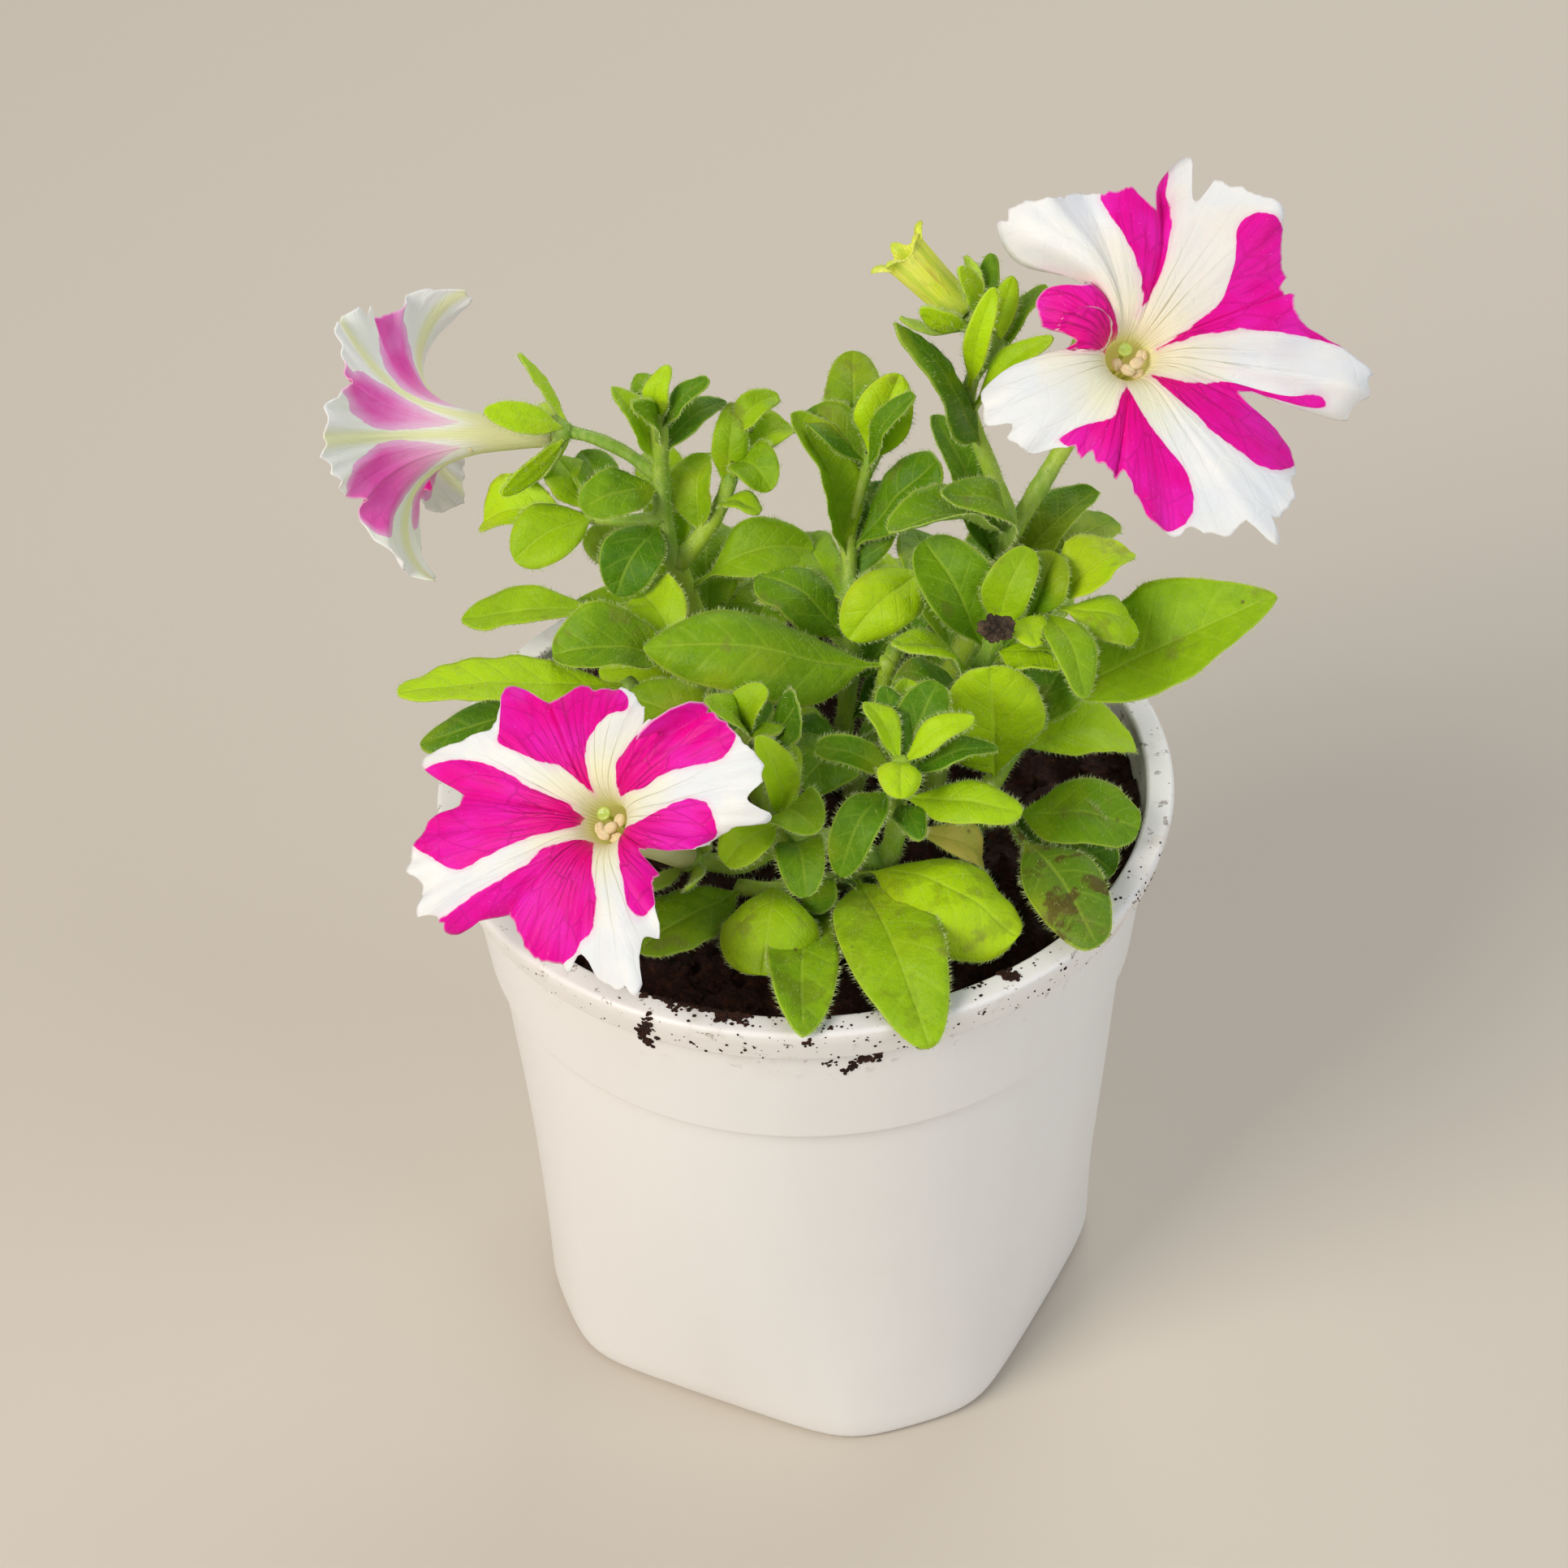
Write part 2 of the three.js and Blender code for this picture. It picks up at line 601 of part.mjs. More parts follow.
// Stems: a path of points, and how thick it is at its start and its end.
// Leaves: the stem each grows on, how far along it, where its tip is, its width and its shape.
const SHOOTS = {
  left_back_shoot: {
    blooms: [BLOOMS.left],
    stems: {
      main: { thick: [4.2, 3], path: [[-9, 15, 93], [-13, 22, 112], [-19, 31, 131], [-22.6, 34.3, 142],
        [-23, 36, 152], [-22.8, 37.8, 167]] },
      right: { thick: [3.6, 2.4], path: [[-21, 33, 137], [-16.4, 34, 142.5], [-12.6, 35, 149],
        [-10.5, 36, 156], [-10, 37.5, 161]] },
      left: { thick: [2.8, 2], path: [[-22.8, 34.8, 146], [-28, 35, 145.5], [-34, 36, 145.5],
        [-39, 37.5, 145]] },
      pedicel: { thick: [2.4, 2.2], path: [[-23, 36.5, 153], [-28.5, 38, 157.7], [-34, 39, 160.6],
        [-39, 39.9, 161.8]] },
    },
    leaves: [
      ['left', 1, [-55.3, 42, 141.6], 11.5, {}],
      ['left', 0.8, [-42.1, 45, 153.5], 10, {}],
      ['left', 0.7, [-49.3, 29, 142.7], 12.5, { fold: 0.4 }],
      ['main', 0.72, [-32.1, 23, 138.6], 11, { arch: 3 }],
      ['main', 0.8, [-36.8, 28, 154.3], 9.5, {}],
      ['left', 0.45, [-37, 47, 152.4], 8, {}],
      ['main', 0.5, [-60.8, 36, 127.5], 9.5, { stalk: 0.4 }],
      ['main', 0.86, [-30.5, 40.5, 170.8], 6, {}],
      ['main', 0.93, [-26.4, 47.5, 168.1], 6.5, {}],
      ['main', 0.98, [-21, 38, 176.5], 5, {}],
      ['main', 0.95, [-14.7, 35.5, 175.4], 5, { arch: 1 }],
      ['main', 0.88, [-11.2, 44, 164.6], 6.5, {}],
      ['main', 0.9, [-27, 31.5, 173.3], 5, {}],
      ['right', 0.25, [-15.4, 42, 155], 9.5, { roll: -20 }],
      ['right', 0.6, [-9.8, 39, 167.3], 6.5, {}],
      ['right', 1, [-2.1, 41, 167.5], 5.5, { arch: 3 }],
      ['right', 0.85, [0.5, 44, 158.1], 8.5, {}],
      ['right', 0.8, [-3.8, 27, 157.5], 8.5, { arch: 3 }],
      ['right', 0.5, [-6.2, 27, 152.5], 6, {}],
      ['main', 0.55, [3, 33.5, 139.5], 11, { arch: 4, stalk: 0.2 }],
    ],
  },
  centre_back_shoot: {
    stems: {
      main: { thick: [3.8, 2.4], path: [[4, 12, 93], [7, 15, 112], [9, 17.5, 133], [9, 22, 143.5],
        [9.3, 26, 150], [11.5, 28, 157], [13.4, 29, 162]] },
    },
    leaves: [
      ['main', 0.72, [1.2, 32, 170.4], 11, { roll: 25, fold: 0.4 }],
      ['main', 0.75, [23, 23.5, 165.1], 12, { arch: -1, fold: 0.35 }],
      ['main', 0.97, [2.4, 36, 167.8], 8.5, {}],
      ['main', 0.98, [18.5, 33, 176.4], 11, { fold: 0.5 }],
      ['main', 0.95, [20.4, 25, 178], 6, { fold: 0.5 }],
      ['main', 0.85, [10.8, 46, 173.4], 11.5, {}],
      ['main', 0.3, [24, 18, 122], 11, { arch: 3 }],
      ['main', 0.62, [-0.1, 44, 135.8], 9.5, {}],
      ['main', 0.55, [-6.5, 34, 131], 12, { arch: 4 }],
    ],
  },
  centre_shoot: {
    stems: {
      main: { thick: [4, 3], path: [[6, 4, 93], [9, 4, 112], [13, 3, 128], [15, 2.5, 139]] },
      upper: { thick: [2.8, 2], path: [[14.8, 2.6, 137], [19, 6, 148], [22, 8, 155]] },
    },
    leaves: [
      ['main', 1, [-26.4, -2, 147.3], 17, { arch: 3, fold: 0.15, wave: 0.8, fullest: 0.8 }],
      ['main', 0.42, [-9, 12, 119], 13, { arch: 3 }],
      ['main', 0.55, [-1, -12, 124], 12, { arch: 3 }],
      ['upper', 1, [7.7, -3, 148.5], 12, { arch: 3, fullest: 0.8 }],
    ],
  },
  right_back_shoot: {
    blooms: [BLOOMS.right, BUD],
    stems: {
      main: { thick: [4.6, 2.4], path: [[14, 10, 93], [21, 9, 118], [31, 9, 144], [36, 12, 158],
        [33.6, 15, 167], [31, 17, 174.3], [29.4, 19, 180.5], [31.2, 20, 186.6], [35.6, 20, 190.2]] },
      right_pedicel: { thick: [3.4, 3], path: [[35, 11.4, 156], [41.5, 17, 164], [46.5, 21, 171],
        [49.1, 22.4, 176.2]] },
      bud_pedicel: { thick: [2.6, 2.4], path: [[34, 20, 189.4], [31.6, 21, 192.4], [30.1, 21.8, 194.8]] },
    },
    leaves: [
      ['main', 0.6, [25.5, 1, 177], 9.5, { arch: 5 }],
      ['main', 0.66, [15.7, -1, 171], 12, { arch: 3 }],
      ['main', 0.8, [18.5, 13, 201.5], 11, { fullest: 0.7 }],
      ['main', 0.52, [55, 25, 152], 13, { arch: 3 }],
      ['main', 0.95, [33.8, 29.5, 203], 4.5, {}],
      ['main', 0.9, [33, 17, 204.5], 4.5, {}],
      ['main', 0.97, [37.3, 25, 201.3], 4.5, {}],
      ['main', 0.93, [42.8, 28, 198], 5, {}],
      ['main', 0.86, [42, 14, 197.5], 5, {}],
    ],
  },
  right_shoot: {
    stems: {
      main: { thick: [4, 3], path: [[18, 1, 93], [23, 0, 116], [29.5, -2, 138], [33.3, -3, 148.6]] },
      right: { thick: [2.6, 2], path: [[32, -2.6, 145], [38, -1.5, 149], [43, -1, 152]] },
    },
    leaves: [
      ['main', 0.9, [21.8, 5, 163], 13, { fold: 0.35, fullest: 1.3 }],
      ['main', 0.96, [38.5, 1.5, 163], 8.5, { fullest: 1.2 }],
      ['right', 0.6, [43, 4.5, 160], 11, { fold: 0.5, fullest: 1.1 }],
      ['right', 0.95, [55.7, 6, 159.1], 11.5, {}],
      ['right', 0.98, [57.4, -3, 147.6], 11.5, { arch: 3 }],
      ['right', 0.8, [47, -20, 148], 8, { arch: 4 }],
      ['right', 0.3, [39.1, -13, 154.5], 9, { arch: 3 }],
      ['main', 0.93, [45.2, -12, 149], 11, { fold: -0.2, arch: 1 }],
      ['main', 0.8, [16, -10.5, 153.8], 9.5, { fold: 0.5 }],
      ['main', 0.74, [15.6, -10, 141.5], 13, {}],
    ],
  },
  front_shoot: {
    blooms: [BLOOMS.front],
    stems: {
      main: { thick: [4.6, 3.2], path: [[8, -14, 93], [10, -19, 107], [13, -24.5, 117], [15, -27, 127],
        [15.1, -28, 136], [16, -29, 143.5]] },
      side: { thick: [4.4, 3.2], path: [[13, -24.3, 116.5], [6.8, -26, 122], [0.8, -27, 125.4],
        [-5, -27.2, 124], [-11, -26.6, 120], [-16, -24.5, 118.4], [-19.9, -24.3, 119.9]] },
      twig: { thick: [2.6, 2], path: [[-2.6, -27, 124.8], [-3.6, -28.5, 129], [-4.3, -29.5, 132]] },
    },
    leaves: [
      ['main', 0.86, [5, -42, 130], 8, { arch: 8 }],
      ['main', 0.91, [1.7, -24, 143.2], 5.5, {}],
      ['main', 0.97, [10.3, -22, 151], 5.5, {}],
      ['main', 0.93, [13.5, -18.2, 151], 6, {}],
      ['main', 0.99, [15.5, -39, 144], 8, { arch: 3 }],
      ['main', 0.92, [32, -27, 144.5], 6, {}],
      ['main', 0.83, [35.2, -38, 140], 9, {}],
      ['main', 0.97, [28, -26.5, 150.8], 5, {}],
      ['main', 0.79, [18.5, -40, 136], 5.5, {}],
      ['main', 0.88, [22.5, -18.5, 151.4], 8.5, { fold: 0.1 }],
      ['main', 0.74, [17.6, -14, 148.6], 8.5, {}],
      ['main', 0.68, [30.5, -22, 111], 7.5, { arch: 5 }],
      ['twig', 0.9, [1.8, -40, 139], 9.5, { fold: 0.2, fullest: 1.2, arch: 3 }],
      ['twig', 0.8, [-14, -38, 130.5], 8.5, {}],
      ['side', 0.5, [-0.4, -42.5, 126.5], 8.5, { arch: 4 }],
      ['twig', 0.45, [-7.5, -24.3, 145.9], 7, {}],
      ['twig', 0.97, [-1.6, -20, 141], 4.5, {}],
    ],
  },
  centre_left_shoot: {
    stems: {
      main: { thick: [3.6, 2.6], path: [[-4, -4, 93], [-6, -8, 110], [-9, -12, 127], [-10.3, -14, 138]] },
    },
    leaves: [
      ['main', 0.97, [-6, -14.2, 148], 7, {}],
      ['main', 0.9, [-3.5, -21.5, 145], 5, {}],
      ['main', 0.92, [-15, -18.5, 149.2], 8, {}],
      ['main', 0.74, [-30, 0, 136], 15, { fullest: 0.8 }],
      ['main', 0.82, [-1.5, -21, 150.3], 11, { arch: -1 }],
      ['main', 0.85, [-10.5, 3, 137.5], 12, { arch: 1 }],
    ],
  },
  left_basal_shoot: {
    stems: {
      main: { thick: [4, 3.2], path: [[-14, 2, 93], [-18, 4, 110], [-25, 7, 124], [-30, 7.5, 132]] },
      upper: { thick: [3, 2.4], path: [[-18.3, 4.2, 111], [-20, 9, 124], [-20.5, 13, 134]] },
    },
    leaves: [
      ['main', 0.98, [-68.2, -3, 140.3], 13.5, { arch: 3 }],
      ['main', 0.75, [-66, 2, 125], 11, { arch: 3 }],
      ['upper', 0.95, [-42.5, 8, 139], 14, { arch: 3 }],
      ['upper', 1, [-27, 25, 138], 11, {}],
    ],
  },
  right_basal_shoot: {
    stems: {
      main: { thick: [4, 3], path: [[20, -6, 93], [25, -9, 108], [31, -12, 115], [35, -14, 118.5]] },
      upper: { thick: [3.4, 3], path: [[26, -9.2, 110], [34, -5, 121], [41, -1, 132.5]] },
    },
    leaves: [
      ['upper', 1, [80.5, 2, 149.6], 20, { arch: 1, fold: 0.2, fullest: 0.8, wave: 0.8 }],
      ['upper', 0.6, [57.5, 0, 122], 12, { arch: 3 }],
      ['main', 0.98, [56.2, -21, 120], 14, { arch: 3 }],
      ['main', 0.88, [51.5, -27, 115.8], 13.5, { arch: 1 }],
      ['main', 0.92, [47, -48.5, 118.5], 13, { arch: 3, stalk: 0.25 }],
      ['upper', 0.4, [32, -13.5, 148.5], 18.5, { fold: 0.15 }],
    ],
  },
  front_basal_shoot: {
    stems: {
      main: { thick: [4, 3], path: [[3, -12, 93], [5, -18, 107], [8, -26, 115]] },
      left: { thick: [3.4, 2.8], path: [[6, -20.6, 110], [0, -25, 113], [-7, -28, 115],
        [-12, -27, 115]] },
    },
    leaves: [
      ['main', 0.98, [18.7, -65.5, 113], 17.5, { arch: 7, fullest: 0.8 }],
      ['left', 0.25, [-1.8, -65, 116.2], 12.5, { arch: 3 }],
      ['left', 0.7, [-8.2, -51, 117], 16, { arch: 7, fullest: 1.2, fold: -0.1 }],
      ['left', 0.93, [-29, -42.5, 115.7], 13.5, { arch: 1 }],
      ['main', 0.88, [35.2, -45.6, 121], 18.5, { arch: 3.5, stalk: 0.34, fold: -0.15, wave: 0.8 }],
      ['left', 0.35, [2.5, -37, 119], 7, {}],
      ['main', 0.72, [10.4, -37.7, 113], 9, { roll: -40 }],
    ],
  },
  back_left_shoot: {
    stems: {
      main: { thick: [3.8, 2.8], path: [[-5, 20, 93], [-9, 28, 107], [-14, 36, 114]] },
    },
    leaves: [
      ['main', 1, [-33, 46, 117], 13, { arch: 3 }],
      ['main', 0.95, [-14, 56, 118], 12, { arch: 3 }],
      ['main', 0.7, [-36, 32, 115], 13, { arch: 3 }],
    ],
  },
  back_right_shoot: {
    stems: {
      main: { thick: [3.8, 2.8], path: [[12, 20, 93], [17, 28, 107], [22, 36, 114]] },
    },
    leaves: [
      ['main', 1, [38, 44, 119], 12, { arch: 3 }],
      ['main', 0.95, [18, 57, 118], 12, { arch: 3 }],
      ['main', 0.6, [46, 26, 118], 12, { arch: 3 }],
      ['main', 0.8, [5, 50, 117], 12, { arch: 3 }],
    ],
  },
};

// A stem and everything that grows out of it, fused into one body. A longer leaf gets more rows of points,
// and a broad one more ribs.
const LEAVES = { highest: 0.97, rowLong: 8, leastRows: 3, mostRows: 6, broad: 15 };

function shootGeometry({ stems, leaves, blooms = [] }) {
  const { highest, rowLong, leastRows, mostRows, broad } = LEAVES;
  const pieces = [];
  const curves = {};
  for (const [name, { path, thick }] of Object.entries(stems)) {
    curves[name] = new THREE.CatmullRomCurve3(path.map(vec), false, 'centripetal');
    pieces.push(stemTube(path, thick[0] / 2, thick[1] / 2));
  }
  for (const [stem, along, tip, width, shape] of leaves) {
    const base = curves[stem].getPointAt(Math.min(along, highest));
    const long = base.distanceTo(vec(tip));
    const rows = THREE.MathUtils.clamp(Math.round(long / rowLong) + 1, leastRows, mostRows);
    pieces.push(leaf(base, tip, { width, rows, ribs: width > broad ? 2 : 1, ...shape }));
  }
  blooms.forEach((bloom) => pieces.push(...calyx(bloom)));
  return fuse(pieces);
}

// Inside each open flower: five stamens joined by a ring low in the tube, and the pistil between them.
// A spot is the turn of a thread, how far out its anther lies, and how high over the throat.
const STAMENS = {
  ringHeight: 6,
  ringRadius: 1.6,
  ringThick: 0.45,
  thread: 0.35,
  spots: [[-150, 2.3, -0.6], [-98, 2.4, 0.4], [-48, 2.3, -0.4], [4, 2.4, 0.5], [150, 2.3, -1.2]],
  threadWaist: 0.6,         // a thread turns outwards at this share of its height
  anther: [1.25, 0.8, 0.75],
  antherTurn: 70,
};

function stamenGeometry(bloom) {
  const { ringHeight, ringRadius, ringThick, thread, threadWaist, spots, anther, antherTurn } = STAMENS;
  const ring = new THREE.TorusGeometry(ringRadius, ringThick, 3, 7);
  ring.translate(0, 0, ringHeight);
  const pieces = [ring];
  for (const [turn, reach, rise] of spots) {
    const [x, y] = [Math.cos(turn * RADIANS), Math.sin(turn * RADIANS)];
    const top = bloom.tube + rise;
    pieces.push(stemTube([
      [ringRadius * x, ringRadius * y, ringHeight],
      [ringRadius * x, ringRadius * y, top * threadWaist],
      [reach * x, reach * y, top],
    ], thread, thread, 3, 2));
    const sac = new THREE.OctahedronGeometry(1, 0);
    sac.scale(...anther);
    sac.rotateZ((turn + antherTurn) * RADIANS);
    sac.translate(reach * x, reach * y, top + anther[2] / 2);
    pieces.push(sac);
  }
  return fuse(pieces);
}

const PISTIL = {
  ovary: 1.3,
  ovaryNeck: 0.7,
  ovaryFoot: 1.4,
  ovaryTop: 4.6,
  style: 0.4,
  styleWaist: 0.6,          // the style leans aside above this share of the tube
  stigma: 1.25,
  stigmaFlat: 0.55,
  rise: 1.6,                // the style ends this far over the throat
  lean: [-0.5, 1.3],
};

function pistilGeometry(bloom) {
  const { ovary, ovaryNeck, ovaryFoot, ovaryTop, style, styleWaist, stigma, stigmaFlat, rise, lean } = PISTIL;
  const base = new THREE.CylinderGeometry(ovaryNeck, ovary, ovaryTop - ovaryFoot, 6);
  base.rotateX(Math.PI / 2);
  base.translate(0, 0, (ovaryTop + ovaryFoot) / 2);
  const top = bloom.tube + rise;
  const path = [[0, 0, ovaryTop - 1], [0, 0, bloom.tube * styleWaist], [...lean, top]];
  const stalk = stemTube(path, style, style, 3, 3);
  const head = new THREE.SphereGeometry(stigma, 6, 3);
  head.rotateX(Math.PI / 2);
  head.scale(1, 1, stigmaFlat);
  head.translate(...lean, top + style);
  return fuse([base, stalk, head]);
}

// A dry brown scrap of an old flower lies on the right shoot's tip. shape flattens it.
const SCRAP = { place: [32.5, -11.6, 156.5], radius: 3.4, shape: [1, 0.85, 0.62] };

function scrapGeometry() {
  const scrap = new THREE.IcosahedronGeometry(SCRAP.radius, 1);
  const place = scrap.attributes.position;
  for (let i = 0; i < place.count; i += 1) {
    const [x, y, z] = [place.getX(i), place.getY(i), place.getZ(i)];
    const dent = 1 + 0.14 * Math.sin(2.1 * x + 1.7 * y) + 0.1 * Math.cos(2.6 * z - x);
    place.setXYZ(i, x * dent, y * dent, z * dent);
  }
  scrap.scale(...SCRAP.shape);
  return scrap;
}

// Finishes.
const finish = (color, roughness) => new THREE.MeshStandardMaterial({ color, roughness, metalness: 0 });
const plastic = finish('#ecebea', 0.38);
const earth = finish('#241510', 0.95);
const foliage = finish('#6f9e1f', 0.6);
const petal = finish('#e2189a', 0.5);
const budPetal = finish('#dbe64a', 0.5);
const pollen = finish('#e6cfa0', 0.7);
const pistilGreen = finish('#a9c23c', 0.5);
const withered = finish('#5a4030', 0.9);

function named(name, geometry, material) {
  const mesh = new THREE.Mesh(geometry, material);
  mesh.name = name;
  return mesh;
}

const petunia = new THREE.Group();
petunia.add(named('pot', potGeometry(), plastic));
petunia.add(named('soil', soilGeometry(SHOOTS), earth));
for (const [name, shoot] of Object.entries(SHOOTS)) petunia.add(named(name, shootGeometry(shoot), foliage));

for (const [side, bloom] of Object.entries(BLOOMS)) {
  const flower = new THREE.Group();
  flower.applyMatrix4(flowerPlace(bloom.foot, bloom.facing));
  flower.add(named(`${side}_flower`, funnel(bloom), petal));
  flower.add(named(`${side}_stamens`, stamenGeometry(bloom), pollen));
  flower.add(named(`${side}_pistil`, pistilGeometry(bloom), pistilGreen));
  petunia.add(flower);
}

const bud = named('young_flower', funnel(BUD), budPetal);
bud.applyMatrix4(flowerPlace(BUD.foot, BUD.facing));
petunia.add(bud);

const scrap = named('withered_scrap', scrapGeometry(), withered);
scrap.position.set(...SCRAP.place);
petunia.add(scrap);

export default petunia;
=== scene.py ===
"""A potted petunia with striped trumpet flowers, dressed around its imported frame.

The tables give lengths in millimetres, as on a drawing, and turns in degrees. A mesh is made in metres.
"""
import json
import math

import bmesh
import bpy
import numpy as np
from bpy.props import FloatProperty, FloatVectorProperty, IntProperty, PointerProperty
from mathutils import Matrix, Vector

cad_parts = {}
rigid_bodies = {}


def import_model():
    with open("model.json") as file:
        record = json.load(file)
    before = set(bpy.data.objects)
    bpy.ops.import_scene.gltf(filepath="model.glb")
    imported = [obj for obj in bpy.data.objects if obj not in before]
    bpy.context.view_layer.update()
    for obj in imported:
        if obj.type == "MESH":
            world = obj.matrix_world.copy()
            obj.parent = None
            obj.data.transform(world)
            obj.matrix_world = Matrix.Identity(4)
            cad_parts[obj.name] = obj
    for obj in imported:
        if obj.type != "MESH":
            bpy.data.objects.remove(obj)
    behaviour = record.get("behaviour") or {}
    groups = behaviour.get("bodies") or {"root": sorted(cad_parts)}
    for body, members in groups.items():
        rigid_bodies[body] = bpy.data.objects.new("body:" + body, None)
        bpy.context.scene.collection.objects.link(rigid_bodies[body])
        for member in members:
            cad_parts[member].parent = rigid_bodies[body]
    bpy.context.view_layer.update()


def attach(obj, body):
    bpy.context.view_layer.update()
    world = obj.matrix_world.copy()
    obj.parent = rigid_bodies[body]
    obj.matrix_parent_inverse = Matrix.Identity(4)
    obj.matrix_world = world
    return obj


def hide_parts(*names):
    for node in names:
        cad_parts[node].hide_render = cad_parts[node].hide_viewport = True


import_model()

bl_info = {
    "name": "Potted petunia",
    "version": (1, 0, 0),
    "blender": (4, 5, 0),
    "location": "View3D > Sidebar > Petunia",
    "description": "Builds a petunia with striped flowers in a white nursery pot",
    "category": "Add Mesh",
}

MM = 0.001
TURN = math.pi / 180


# Sizes and colours that a user may change.

def a_length(name, description, default, **more):
    """A length setting, in metres."""
    return FloatProperty(name=name, description=description, default=default, unit="LENGTH", **more)


def a_colour(name, description, default):
    """A colour setting."""
    return FloatVectorProperty(name=name, description=description, default=default, subtype="COLOR", size=3,
                               min=0, max=1)


class PotSettings(bpy.types.PropertyGroup):
    """The nursery pot and its soil."""

    height: a_length("Height", "Height of the pot", 0.115)
    rim_radius: a_length("Rim radius", "Outer radius of the rim", 0.0635)
    wall: a_length("Wall", "Thickness of the wall", 0.0014)
    plastic: a_colour("Plastic", "Colour of the pot", (0.86, 0.84, 0.82))
    soil: a_colour("Soil", "Colour of the moist soil", (0.022, 0.008, 0.005))
    crumbs: IntProperty(name="Crumbs", description="Loose crumbs on the soil", default=900, min=0)
    specks: IntProperty(name="Specks", description="Specks of soil on the rim", default=240, min=0)


class LeafSettings(bpy.types.PropertyGroup):
    """Leaves, stems and their hairs."""

    fresh: a_colour("Fresh green", "Colour of young leaves", (0.46, 0.70, 0.004))
    deep: a_colour("Deep green", "Colour of old leaves", (0.065, 0.190, 0.002))
    stem: a_colour("Stem green", "Colour of the stems", (0.42, 0.58, 0.03))
    hair_length: a_length("Hair length", "Mean length of the hairs", 0.00085)
    hair_radius: a_length("Hair radius", "Radius of a hair at its root", 0.00004, precision=5)
    hair_density: FloatProperty(name="Hair density", description="Hairs on a square millimetre of leaf",
                                default=0.8, min=0)


class FlowerSettings(bpy.types.PropertyGroup):
    """The petals."""

    magenta: a_colour("Magenta", "Colour of the coloured sectors", (0.83, 0.000, 0.30))
    white: a_colour("White", "Colour of the stripes", (0.90, 0.88, 0.86))
    cream: a_colour("Cream", "Colour of the stripes near the throat", (0.82, 0.76, 0.42))
    # Throat: the tube's own yellow-green, made lighter as painted light for the light that shines through
    # its walls.
    throat: a_colour("Throat", "Colour inside the tube", (0.80, 0.80, 0.26))
    bud: a_colour("Bud", "Colour of the young flower", (0.80, 0.88, 0.05))


class StageSettings(bpy.types.PropertyGroup):
    """Floor, light and camera."""

    floor: a_colour("Floor", "Colour of the floor", (0.62, 0.56, 0.48))
    lens: FloatProperty(name="Lens", description="Focal length on a 36 mm sensor, in millimetres",
                        default=111.8, min=1)


SETTINGS = {"petunia_pot": PotSettings, "petunia_leaf": LeafSettings, "petunia_flower": FlowerSettings,
            "petunia_stage": StageSettings}


# The drawing of the plant: the same sizes as the frame's solids have.

POT = {
    "rim_inner": 58.7, "band_drop": 7.4, "band_foot": 61.7, "collar_top": 59.6, "collar_foot": 56.9,
    "step_drop": 31, "step_in": 1.5, "foot_radius": 47.9, "foot_round": 2.5, "floor": 2,
    "side_flat": 44.5, "corner_flat": 50.2, "flat_facing": -27, "square_top": 62, "square_fade": 2.1,
    "square_sharpness": 20, "drain_holes": 6, "drain_radius": 3.5, "drain_circle": 27,
}
SOIL_LEVEL = 107

BLADE = {"tip_half": 0.55, "crowding": 1.15, "base": 0.8, "point": 0.5, "waves": 11, "wave_shift": 1.4}
CALYX = {"cup_foot": 1.4, "cup_deep": 2.6, "sepal_start": -1.7, "hip_out": 3.2, "hip_height": 0.6,
         "tip_out": 1.6}
FUNNEL = {"tube_lean": 12, "tube_swell": 1.4, "curl_growth": 2.5, "lip": 0.18, "steps": 24}

# The gap between a flower and its calyx, and how far along a stem its last leaves start.
GAP = 0.3
LAST_LEAF = 0.97


